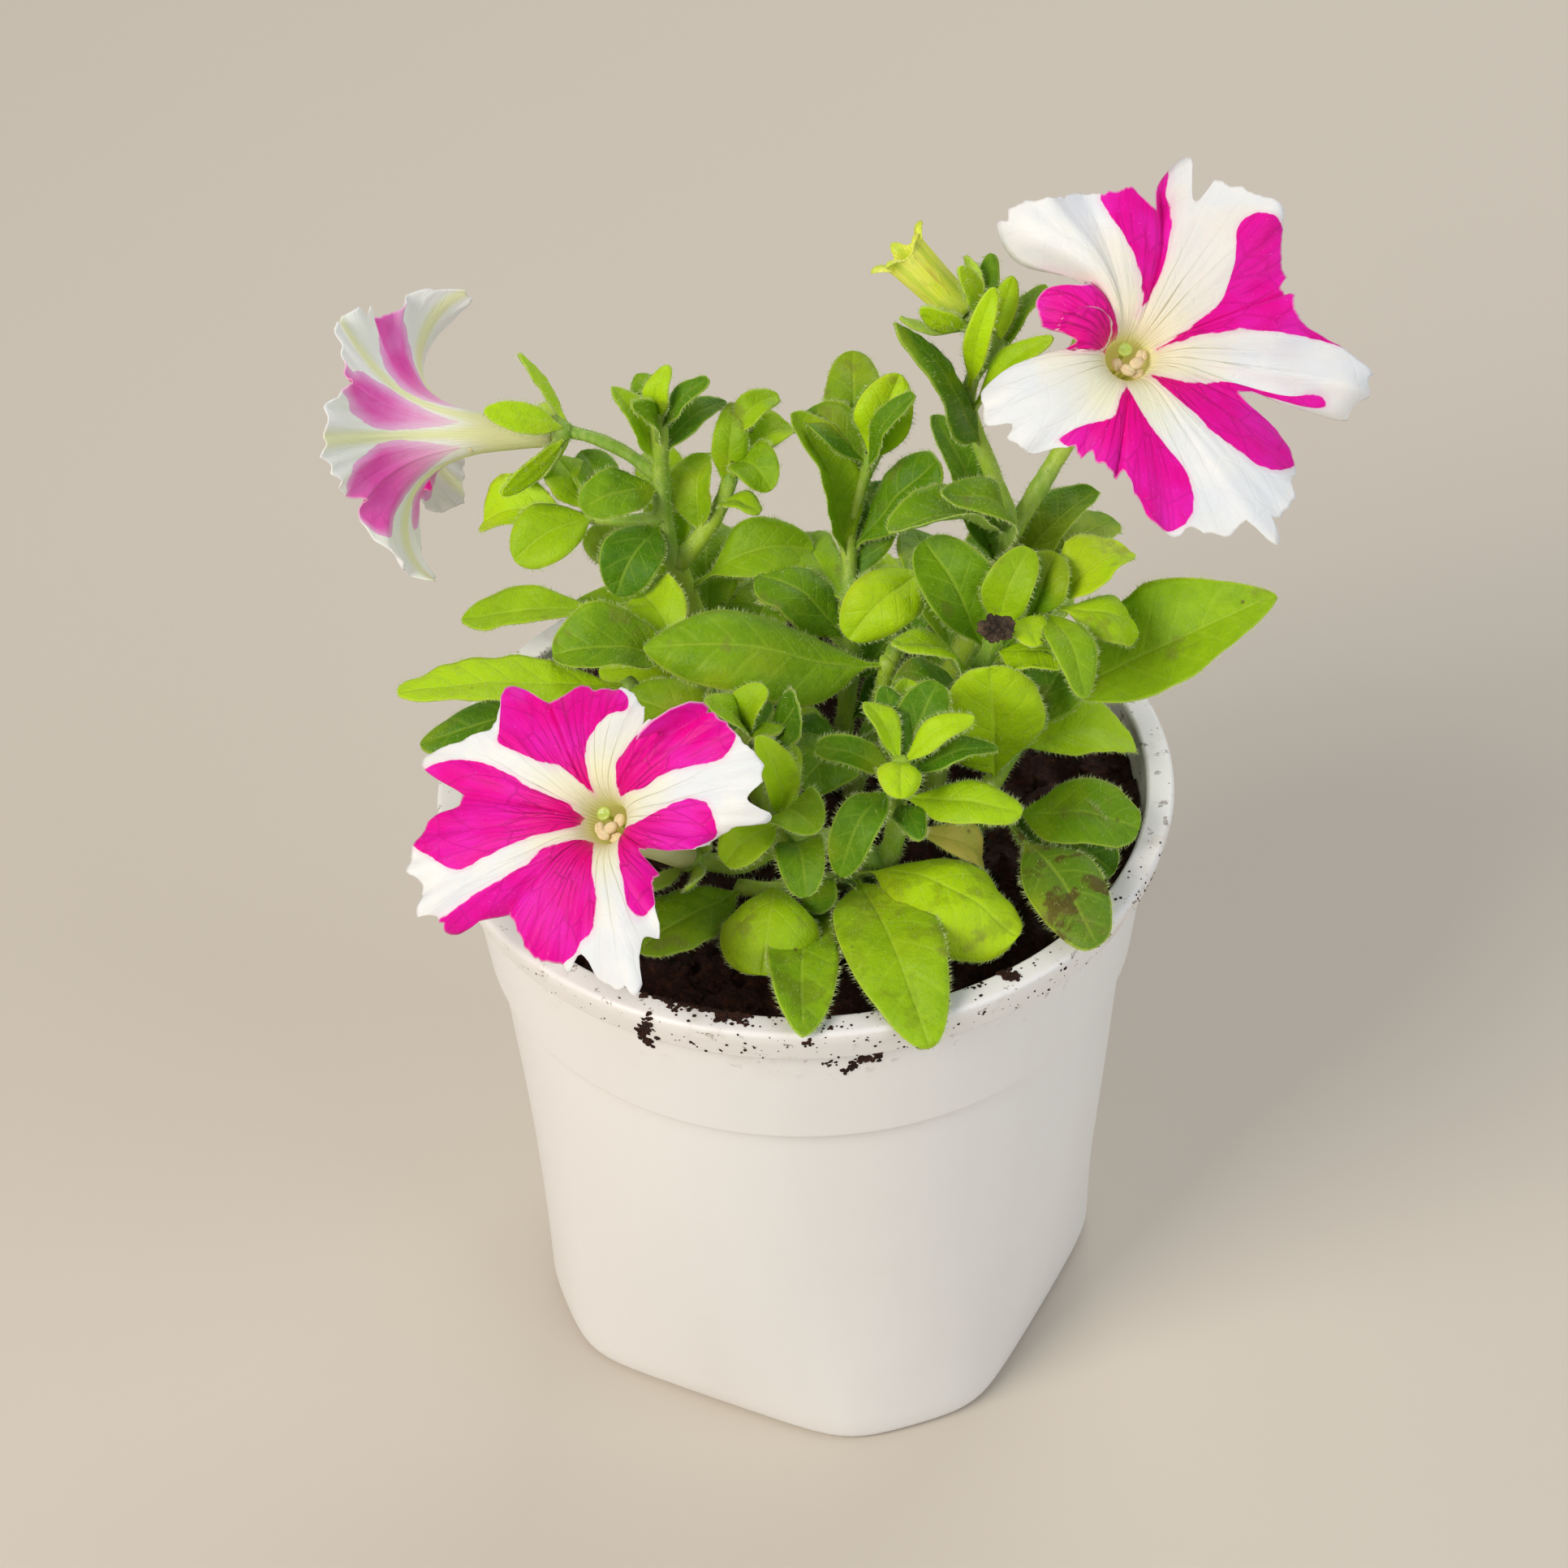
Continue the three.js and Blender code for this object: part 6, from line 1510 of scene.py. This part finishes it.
def spin_profile(name, profile, steps):
    """Spins a profile of (radius, height) round the upright axis to a closed body, in metres."""
    bpy.ops.object.select_all(action="DESELECT")
    mesh = bpy.data.meshes.new(name)
    points = [(r * MM, 0, z * MM) for r, z in profile]
    mesh.from_pydata(points, [(i, i + 1) for i in range(len(points) - 1)], [])
    piece = bpy.data.objects.new(name, mesh)
    bpy.context.scene.collection.objects.link(piece)
    only(piece)
    bpy.ops.object.mode_set(mode="EDIT")
    bpy.ops.mesh.select_all(action="SELECT")
    bpy.ops.mesh.spin(steps=steps, angle=2 * math.pi, center=(0, 0, 0), axis=(0, 0, 1))
    bpy.ops.mesh.select_all(action="SELECT")
    bpy.ops.mesh.remove_doubles(threshold=0.00001)
    bpy.ops.mesh.normals_make_consistent(inside=False)
    bpy.ops.object.mode_set(mode="OBJECT")
    return piece


def arc(centre, radius, start, end, count=5):
    """Points of a round in a profile, from one turn to another."""
    turns = np.linspace(start, end, count) * TURN
    return [(centre[0] + radius * math.cos(t), centre[1] + radius * math.sin(t)) for t in turns]


class PETUNIA_OT_pot(bpy.types.Operator):
    """Turn the nursery pot, press its flats and bore its drain holes"""

    bl_idname = "petunia.pot"
    bl_label = "Nursery pot"

    def execute(self, context):
        settings = context.scene.petunia_pot
        height, rim, wall = settings.height / MM, settings.rim_radius / MM, settings.wall / MM
        step, band = height - POT["step_drop"], height - POT["band_drop"]
        top = POT["collar_foot"] - POT["step_in"]
        foot, bend = POT["foot_radius"], POT["foot_round"]

        def body(z):
            """The outer radius of the pot below the step."""
            return foot + (top - foot) * z / step

        heights = list(np.linspace(bend + 1, step - 1.0, 30))
        profile = [(0.0, 0.6), (foot - 9, 0.6), (foot - 8, 0.0)]
        profile += arc((foot - bend, bend), bend, -90, -4, 8)
        profile += [(body(z), z) for z in heights]
        profile += arc((top - 0.4, step - 0.3), 0.5, 0, 60, 3)
        profile += arc((POT["collar_foot"] - 0.45, step + 1.2), 0.45, -60, 0, 4)
        collar = np.linspace(step + 1.8, band - 1.2, 8)
        slope = (POT["collar_top"] - POT["collar_foot"]) / (band - 0.6 - step - 1.2)
        profile += [(POT["collar_foot"] + slope * (z - step - 1.2), z) for z in collar]
        profile += [(POT["collar_top"] + 0.1, band - 0.5), (POT["collar_top"] + 0.5, band - 0.15)]
        profile += arc((POT["band_foot"] - 0.4, band + 0.4), 0.4, -90, 0, 4)
        profile += [(rim - 0.5, band + 4.2)]
        profile += arc((rim - 0.9, height - 0.9), 0.9, 0, 90, 7)
        profile += [(rim - 2.4, height - 0.06)]
        profile += arc((POT["rim_inner"] + 0.8, height - 0.8), 0.8, 90, 180, 6)
        profile += [(POT["rim_inner"] - 0.15, band + 1.5), (POT["collar_top"] - wall, band - 0.6)]
        profile += [(POT["collar_foot"] - wall, step + 1.2), (top - wall, step)]
        profile += [(body(z) - wall, z) for z in heights[::-3]]
        profile += [(body(POT["floor"]) - wall - 0.75, POT["floor"]), (0.0, POT["floor"])]
        piece = spin_profile("nursery_pot", profile, 144)
        press_flats(piece.data)
        circle = POT["drain_circle"] * MM
        for k in range(POT["drain_holes"]):
            turn = 2 * math.pi * (k + 0.5) / POT["drain_holes"]
            place = (circle * math.cos(turn), circle * math.sin(turn), MM)
            bpy.ops.object.select_all(action="DESELECT")
            bpy.ops.mesh.primitive_cylinder_add(vertices=32, radius=POT["drain_radius"] * MM, depth=0.008,
                                                location=place)
            drill = context.active_object
            only(piece)
            bore = piece.modifiers.new("drain", "BOOLEAN")
            bore.object = drill
            bore.operation = "DIFFERENCE"
            bore.solver = "EXACT"
            bpy.ops.object.modifier_apply(modifier=bore.name)
            bpy.data.objects.remove(drill)
        only(piece)
        bpy.ops.object.shade_smooth_by_angle(angle=40 * TURN)
        piece.data.materials.append(plastic_paint(settings))
        stand_for(piece, "pot", "pot")
        return {"FINISHED"}


# Lumps of the soil, from coarse to fine: how close the waves stand, and how high they are.
SOIL_WAVES = ((0.7, 0.5), (1.6, 0.34), (3.1, 0.22), (5.0, 0.14))


def soil_edge(wall):
    """Outer radius of the soil's top, a little inside the wall of the pot."""
    return POT["collar_top"] - wall - 0.35


def soil_lumps(edge):
    """A function that tells how far the soil stands over its level at a place."""
    rng = np.random.default_rng(7)
    phases = rng.uniform(0, 6.28, (4, 8, 2))[..., 0]
    ways = unit(rng.normal(0, 1, (4, 8, 2)))

    def rise_at(x, y):
        """How far the soil stands over its level."""
        lump = math.sin(0.31 * x + 1) * math.cos(0.27 * y) + 0.6 * math.sin(0.13 * x - 0.41 * y + 2)
        rise = 1.1 * lump * (0.5 if math.hypot(x, y) > edge - 1 else 1)
        for level, (scale, size) in enumerate(SOIL_WAVES):
            waves = np.sin(scale * (x * ways[level, :, 0] + y * ways[level, :, 1]) + phases[level])
            rise += size * 0.5 * float(waves.sum())
        return rise

    return rise_at


class PETUNIA_OT_soil(bpy.types.Operator):
    """Fill the pot with lumpy soil"""

    bl_idname = "petunia.soil"
    bl_label = "Soil"

    def execute(self, context):
        settings = context.scene.petunia_pot
        wall = settings.wall / MM
        step = settings.height / MM - POT["step_drop"]
        top = POT["collar_foot"] - POT["step_in"]
        inset = wall + 0.9
        edge = soil_edge(wall)
        rows = np.linspace(0, 1, 74)
        profile = [(0.0, 2.3), (POT["foot_radius"] - inset - 1.6, 2.3)]
        slope = (top - POT["foot_radius"]) / step
        profile += [(POT["foot_radius"] + slope * z - inset, z) for z in (20, POT["square_top"], step)]
        profile += [(POT["collar_foot"] - inset, step + 1.6), (edge - 0.4, SOIL_LEVEL - 2.5)]
        profile += [(edge * (1 - r), SOIL_LEVEL) for r in rows]
        piece = spin_profile("potting_soil", profile, 200)
        press_flats(piece.data)
        rise_at = soil_lumps(edge)
        for vertex in piece.data.vertices:
            x, y, z = vertex.co / MM
            if z > SOIL_LEVEL - 0.5:
                vertex.co.z = (SOIL_LEVEL + rise_at(x, y)) * MM
        only(piece)
        bpy.ops.object.shade_smooth()
        piece.data.materials.append(soil_paint(settings))
        stand_for(piece, "soil", "soil")
        return {"FINISHED"}


def crumb_shapes(count, rng):
    """A few rough crumbs to copy: points of unit size, and their faces."""
    shapes = []
    for _ in range(count):
        bm = bmesh.new()
        bmesh.ops.create_icosphere(bm, subdivisions=1, radius=1)
        for vertex in bm.verts:
            vertex.co *= rng.uniform(0.6, 1.15)
        points = np.array([vertex.co for vertex in bm.verts])
        faces = np.array([[vertex.index for vertex in face.verts] for face in bm.faces])
        bm.free()
        shapes.append((points, faces))
    return shapes


def drop_crumb(sheaf, shapes, place, out, size, rng, flat):
    """Turns a shape at random, squashes it along the way out and sets it at its place."""
    points, faces = shapes[int(rng.integers(len(shapes)))]
    turn = Matrix.Rotation(rng.uniform(0, 6.28), 3, Vector(rng.normal(0, 1, 3)))
    turned = points @ np.array(turn) * size
    turned = turned - np.outer(turned @ out, out) * (1 - flat)
    sheaf.add(turned + place, {0: [faces]})


def on_rim(turn, down, height, rim):
    """A place on the rim and its way out: down runs over the top from the inner edge, then down the band."""
    out = np.array([math.cos(turn * TURN), math.sin(turn * TURN), 0])
    top = rim - POT["rim_inner"] - 0.4
    if down < 0:
        return out * POT["rim_inner"] + [0, 0, height - 0.8 + 3 * down], -out
    if down < top:
        edge = np.interp(down, [0, 0.15, 0.4, 0.8], [-0.8, -0.33, -0.11, 0])
        return out * (POT["rim_inner"] + down) + [0, 0, height + edge], np.array([0, 0, 1.0])
    drop = down - top
    under = POT["band_drop"] - 0.4
    if under < drop < under + 1:
        drop = under
    radius = np.interp(drop, [0.5, 3.2, 7.1, 7.4, 31], [rim, rim - 0.5, POT["band_foot"], POT["collar_top"],
                                                        POT["collar_foot"]])
    return out * radius + [0, 0, height - drop], out


# Clumps of wet soil on the rim and below it: crumbs, their size, their line of (turn, way down) points,
# their spread. The band hides what lies from 11.8 to 13.7 down.
CLUMPS = [
    (70, 0.44, [(-115.1, 4.8), (-116.3, 8.2), (-117.2, 11.4)], 0.5),
    (24, 0.5, [(-117.9, 14.2), (-117.6, 16.2)], 0.5),
    (70, 0.46, [(-85.4, 17.6), (-83.0, 15.0), (-79.3, 14.7)], 0.45),
    (14, 0.32, [(-89.5, 14.6), (-86.5, 14.8)], 0.5),
    (16, 0.38, [(-73.0, 14.5), (-72.2, 14.8)], 0.35),
    (12, 0.4, [(-91.2, 6.2), (-90.8, 6.8)], 0.4),
    (120, 0.6, [(-118, 0.1), (-110, 0.3), (-100, 0.4)], 0.5),
    (40, 0.55, [(-104.6, 0.4), (-104, 2.2)], 0.5),
    (26, 0.5, [(-102, 0.4), (-101.6, 1.8)], 0.4),
    (44, 0.55, [(-58.6, 0.0), (-57, 2.6)], 0.5),
    (12, 0.3, [(-113.0, 1.9), (-110.8, 2.1)], 0.25),
    (12, 0.3, [(-101.8, 2.6), (-100.2, 2.8)], 0.3),
    (10, 0.3, [(-88.4, 3.0), (-86.0, 3.2)], 0.25),
    (10, 0.3, [(-65.0, 0.9), (-61.6, 1.2)], 0.4),
    (26, 0.24, [(-32, 5.0), (-25, 8.0), (-18, 9.5)], 0.7),
    (3, 0.32, [(-108.8, 9.4), (-108.6, 9.4)], 0.15),
    (3, 0.36, [(-104.6, 10.4), (-104.4, 10.4)], 0.15),
    (3, 0.28, [(-99.7, 7.7), (-98.4, 8.2)], 0.15),
    (3, 0.34, [(-63.9, 7.6), (-63.6, 7.6)], 0.15),
    (3, 0.3, [(-51.0, 10.7), (-50.8, 10.7)], 0.15),
    (3, 0.3, [(-37.9, 8.3), (-37.6, 8.3)], 0.15),
]
# Fine dust: share of the specks, the turn that they gather round, how widely.
DUST = [(0.5, -95, 18), (0.25, -50, 20), (0.25, 90, 110)]


class PETUNIA_OT_crumbs(bpy.types.Operator):
    """Scatter crumbs on the soil, and specks and smears of soil on the rim and band"""

    bl_idname = "petunia.crumbs"
    bl_label = "Crumbs and specks"

    def execute(self, context):
        settings = context.scene.petunia_pot
        rng = np.random.default_rng(21)
        shapes = crumb_shapes(6, rng)
        edge = soil_edge(settings.wall / MM)
        rise_at = soil_lumps(edge)
        paint = bpy.data.materials["potting_soil"]
        loose = Sheaf()
        for _ in range(settings.crumbs):
            radius, turn = (edge - 1.5) * math.sqrt(rng.random()), rng.uniform(0, 2 * math.pi)
            x, y, size = radius * math.cos(turn), radius * math.sin(turn), 0.62 * rng.lognormal(0, 0.45)
            place = [x, y, SOIL_LEVEL + rise_at(x, y) + 0.15 * size]
            drop_crumb(loose, shapes, place, np.array([0, 0, 1.0]), size, rng, 0.8)
        piece = loose.build("soil_crumbs", [paint])
        stand_for(piece, "soil")
        specks = Sheaf()
        rim, height = settings.rim_radius / MM, settings.height / MM
        for _ in range(settings.specks):
            _, turn, wide = DUST[rng.choice(len(DUST), p=[share for share, _, _ in DUST])]
            turn = rng.normal(turn, wide)
            down = rng.uniform(0.3, 4.2) if rng.random() < 0.5 else rng.uniform(4.6, 12)
            place, out = on_rim(turn, down, height, rim)
            drop_crumb(specks, shapes, place, out, rng.lognormal(-1.62, 0.45), rng, 0.6)
        for count, size, line, spread in CLUMPS:
            turns, downs = zip(*line)
            for share in rng.random(count) * (len(line) - 1):
                turn = np.interp(share, range(len(line)), turns) + rng.normal(0, spread * 0.9)
                down = np.interp(share, range(len(line)), downs) + rng.normal(0, spread)
                place, out = on_rim(turn, down, height, rim)
                drop_crumb(specks, shapes, place, out, size * rng.uniform(0.6, 1.4), rng, 0.6)
        piece = specks.build("rim_specks", [paint])
        stand_for(piece, "soil")
        return {"FINISHED"}


class PETUNIA_OT_shoots(bpy.types.Operator):
    """Grow the twelve shoots with their leaves, calyces and hairs"""

    bl_idname = "petunia.shoots"
    bl_label = "Shoots"

    def execute(self, context):
        settings = context.scene.petunia_leaf
        skins = [leaf_paint("leaf_upper_skin", settings, underside=False),
                 leaf_paint("leaf_lower_skin", settings, underside=True), stem_paint(settings)]
        hair = hair_paint()
        for number, (name, shoot) in enumerate(SHOOTS.items()):
            rng = np.random.default_rng(100 + number)
            sheaf, down = Sheaf(), Down(rng, settings)
            paths = {key: Path(path) for key, (_, _, path) in shoot["stems"].items()}
            for key, (start, end, _) in shoot["stems"].items():
                add_stem(sheaf, down, paths[key], start / 2, end / 2, 2)
            for stem, along, tip, width, arch, *more in shoot["leaves"]:
                base = paths[stem].at(min(along, LAST_LEAF))
                add_leaf(sheaf, down, base, tip, width, arch, dict(*more), rng)
            for stem, along, tip, width, arch, tint in SHADE_LEAVES.get(name, []):
                add_leaf(sheaf, down, paths[stem].at(along), tip, width, arch, {"tint": tint}, rng)
            for bloom in shoot.get("blooms", []):
                add_calyx(sheaf, down, BUD if bloom == "bud" else BLOOMS[bloom], rng)
            piece = sheaf.build(name.replace("_shoot", "_foliage"), skins)
            stand_for(piece, "leaf", name)
            hairs = down.build(name.replace("_shoot", "_hairs"), hair)
            stand_for(hairs, "leaf")
        return {"FINISHED"}


class PETUNIA_OT_flowers(bpy.types.Operator):
    """Open the three striped flowers and furl the young one"""

    bl_idname = "petunia.flowers"
    bl_label = "Flowers"

    def execute(self, context):
        settings = context.scene.petunia_flower
        skins = [petal_paint("petal_inner_skin", settings, outside=False),
                 petal_paint("petal_outer_skin", settings, outside=True)]
        for number, (side, bloom) in enumerate(BLOOMS.items()):
            sheaf = Sheaf()
            add_funnel(sheaf, bloom, np.random.default_rng(40 + number))
            piece = sheaf.build(side + "_corolla", skins)
            stand_for(piece, "petal", side + "_flower")
        sheaf = Sheaf()
        add_funnel(sheaf, BUD, np.random.default_rng(50), per_lobe=24, tube_rows=14, limb_rows=14,
                   thick=0.5, depth=0.0)
        skin = bud_paint(settings)
        piece = sheaf.build("young_corolla", [skin, skin])
        stand_for(piece, "young_petal", "young_flower")
        return {"FINISHED"}


# The ring that joins the feet of the stamens, the top of the pistil, and each stamen's turn, reach and lift.
STAMEN_RING, STAMEN_FOOT = 1.6, 6
PISTIL_TOP = (-0.5, 1.3)
STAMEN_SPOTS = [(-150, 1.9, 0.4), (-98, 2.2, 1.6), (-46, 1.6, 2.0), (4, 2.2, 1.2), (-60, 2.9, 0.6)]


def add_thread(sheaf, points, radius, steps=18):
    """A thin round thread through points."""
    centre = Path(points).at(np.linspace(0, 1, steps + 1))
    ahead = unit(np.gradient(centre, axis=0))
    normal = unit(np.cross(ahead, [0.31, 0.2, 0.92]))
    other = np.cross(ahead, normal)
    turn = np.linspace(0, 2 * np.pi, 8, endpoint=False)
    outs = normal[:, None] * np.cos(turn)[:, None] + other[:, None] * np.sin(turn)[:, None]
    sheaf.add_tube(centre[:, None] + outs * radius, centre[[0, -1]])


def anther_shape(context):
    """One anther: two plump halves with a groove between them, as points and faces of unit size."""
    bpy.ops.object.select_all(action="DESELECT")
    bpy.ops.mesh.primitive_uv_sphere_add(segments=20, ring_count=12, radius=1)
    sphere = context.active_object
    bpy.ops.object.mode_set(mode="EDIT")
    bpy.ops.mesh.select_all(action="SELECT")
    bpy.ops.mesh.quads_convert_to_tris()
    bpy.ops.object.mode_set(mode="OBJECT")
    points = np.array([vertex.co for vertex in sphere.data.vertices])
    faces = np.array([list(face.vertices) for face in sphere.data.polygons])
    bpy.data.objects.remove(sphere)
    groove = np.exp(-(points[:, 1] / 0.22) ** 2)
    points[:, 2] *= 1 - 0.35 * groove * (points[:, 2] > 0)
    points[:, 0] *= 1 - 0.10 * groove
    points *= 1 + 0.04 * np.sin(7 * points[:, :1]) * np.cos(9 * points[:, 1:2])
    return points * [1.25, 0.95, 0.78], faces


class PETUNIA_OT_stamens(bpy.types.Operator):
    """Set the stamens and the pistil in each open flower"""

    bl_idname = "petunia.stamens"
    bl_label = "Stamens and pistils"

    def execute(self, context):
        pollen, thread, stigma = anther_paint(), thread_paint(), stigma_paint()
        shape, faces = anther_shape(context)
        for side, bloom in BLOOMS.items():
            foot, right, rise, axis = place_of(bloom)
            basis = np.stack([right, rise, axis])

            def put(points):
                """Points of the flower's own, set in its place."""
                return np.asarray(points, float) @ basis + foot

            sheaf = Sheaf()
            ring = [(STAMEN_RING * math.cos(t), STAMEN_RING * math.sin(t), STAMEN_FOOT)
                    for t in np.linspace(0, 2 * math.pi, 25)]
            add_thread(sheaf, put(ring), 0.42, 40)
            for angle, reach, lift in STAMEN_SPOTS:
                x, y = math.cos(angle * TURN), math.sin(angle * TURN)
                top = bloom["tube"] + lift
                low = (STAMEN_RING * x, STAMEN_RING * y)
                line = [(*low, STAMEN_FOOT), (*low, top * 0.6), (reach * x, reach * y, top)]
                add_thread(sheaf, put(line), 0.3)
                spin = Matrix.Rotation((angle + 70) * TURN, 3, "Z")
                sac = shape @ np.array(spin).T + [reach * x, reach * y, top + 0.4]
                sheaf.add(put(sac), {1: [faces]})
            piece = sheaf.build(side + "_anthers", [thread, pollen])
            stand_for(piece, "anther", side + "_stamens")
            sheaf = Sheaf()
            top = bloom["tube"] + 1.6
            add_thread(sheaf, put([(0, 0, 3.6), (0, 0, bloom["tube"] * 0.6), (*PISTIL_TOP, top)]), 0.36)
            ovary = shape * [1.0, 1.3, 2.2] + [0, 0, 3.1]
            sheaf.add(put(ovary), {0: [faces]})
            radius = np.hypot(shape[:, 0], shape[:, 1])
            head = unit(shape) * [1.25, 1.25, 0.7]
            dip = np.exp(-(radius / 0.45) ** 2) * (head[:, 2] > 0)
            head[:, 2] -= 0.5 * dip
            sheaf.add(put(head + [*PISTIL_TOP, top + 0.4]), {0: [faces]})
            piece = sheaf.build(side + "_style", [stigma])
            stand_for(piece, "pistil", side + "_pistil")
        return {"FINISHED"}


# The dry scrap: its centre, its radius before it is creased, and how deep and how tall it is to its width.
SCRAP = {"centre": (32.5, -11.6, 156.5), "radius": 3.0, "deep": 0.85, "tall": 0.62}

# Creases of the dry scrap: how fast each comes round along x, y and z, its shift, and how deep it cuts.
SCRAP_CREASES = [(1.5, 0.5, 1.0, 0.5, 0.24), (-0.8, 1.6, 0.6, 2.1, 0.22), (0.6, -1.1, 1.9, 4.0, 0.2),
                 (2.6, 1.9, -1.4, 1.2, 0.1)]


class PETUNIA_OT_scrap(bpy.types.Operator):
    """Crumple the dry scrap of an old flower"""

    bl_idname = "petunia.scrap"
    bl_label = "Withered scrap"

    def execute(self, context):
        bpy.ops.object.select_all(action="DESELECT")
        bpy.ops.mesh.primitive_ico_sphere_add(subdivisions=5, radius=SCRAP["radius"] * MM)
        piece = context.active_object
        piece.name = "withered_petals"
        for vertex in piece.data.vertices:
            x, y, z = vertex.co / MM
            dent = 1 + 0.14 * math.sin(2.1 * x + 1.7 * y) + 0.1 * math.cos(2.6 * z - x)
            dent += 0.04 * math.sin(5.1 * x - 3.7 * z) + 0.03 * math.sin(8.3 * y + 4 * x)
            for a, b, c, shift, deep in SCRAP_CREASES:
                dent -= deep * (1 - abs(math.sin(a * x + b * y + c * z + shift))) ** 4
            vertex.co = Vector((x * dent, y * dent * SCRAP["deep"], z * dent * SCRAP["tall"])) * MM
            vertex.co += Vector(SCRAP["centre"]) * MM
        bpy.ops.object.shade_smooth()
        piece.data.materials.append(withered_paint())
        stand_for(piece, "withered", "withered_scrap")
        return {"FINISHED"}


OPERATORS = (PETUNIA_OT_stage, PETUNIA_OT_pot, PETUNIA_OT_soil, PETUNIA_OT_crumbs, PETUNIA_OT_shoots,
             PETUNIA_OT_flowers, PETUNIA_OT_stamens, PETUNIA_OT_scrap)


class VIEW3D_PT_petunia(bpy.types.Panel):
    """Settings and steps of the potted petunia"""

    bl_label = "Potted petunia"
    bl_space_type = "VIEW_3D"
    bl_region_type = "UI"
    bl_category = "Petunia"

    def draw(self, context):
        layout = self.layout
        for name in SETTINGS:
            box = layout.box()
            group = getattr(context.scene, name)
            for key in group.__annotations__:
                box.prop(group, key)
        for operator in OPERATORS:
            layout.operator(operator.bl_idname)


def register():
    """Adds the settings, the steps and the panel."""
    for name, group in SETTINGS.items():
        bpy.utils.register_class(group)
        setattr(bpy.types.Scene, name, PointerProperty(type=group))
    for operator in OPERATORS:
        bpy.utils.register_class(operator)
    bpy.utils.register_class(VIEW3D_PT_petunia)


def unregister():
    """Takes the panel, the steps and the settings away."""
    bpy.utils.unregister_class(VIEW3D_PT_petunia)
    for operator in reversed(OPERATORS):
        bpy.utils.unregister_class(operator)
    for name, group in reversed(SETTINGS.items()):
        delattr(bpy.types.Scene, name)
        bpy.utils.unregister_class(group)


def main():
    """Registers the add-on and builds every piece."""
    register()
    bpy.ops.petunia.stage()
    bpy.ops.petunia.pot()
    bpy.ops.petunia.soil()
    bpy.ops.petunia.crumbs()
    bpy.ops.petunia.shoots()
    bpy.ops.petunia.flowers()
    bpy.ops.petunia.stamens()
    bpy.ops.petunia.scrap()


if __name__ == "__main__":
    main()
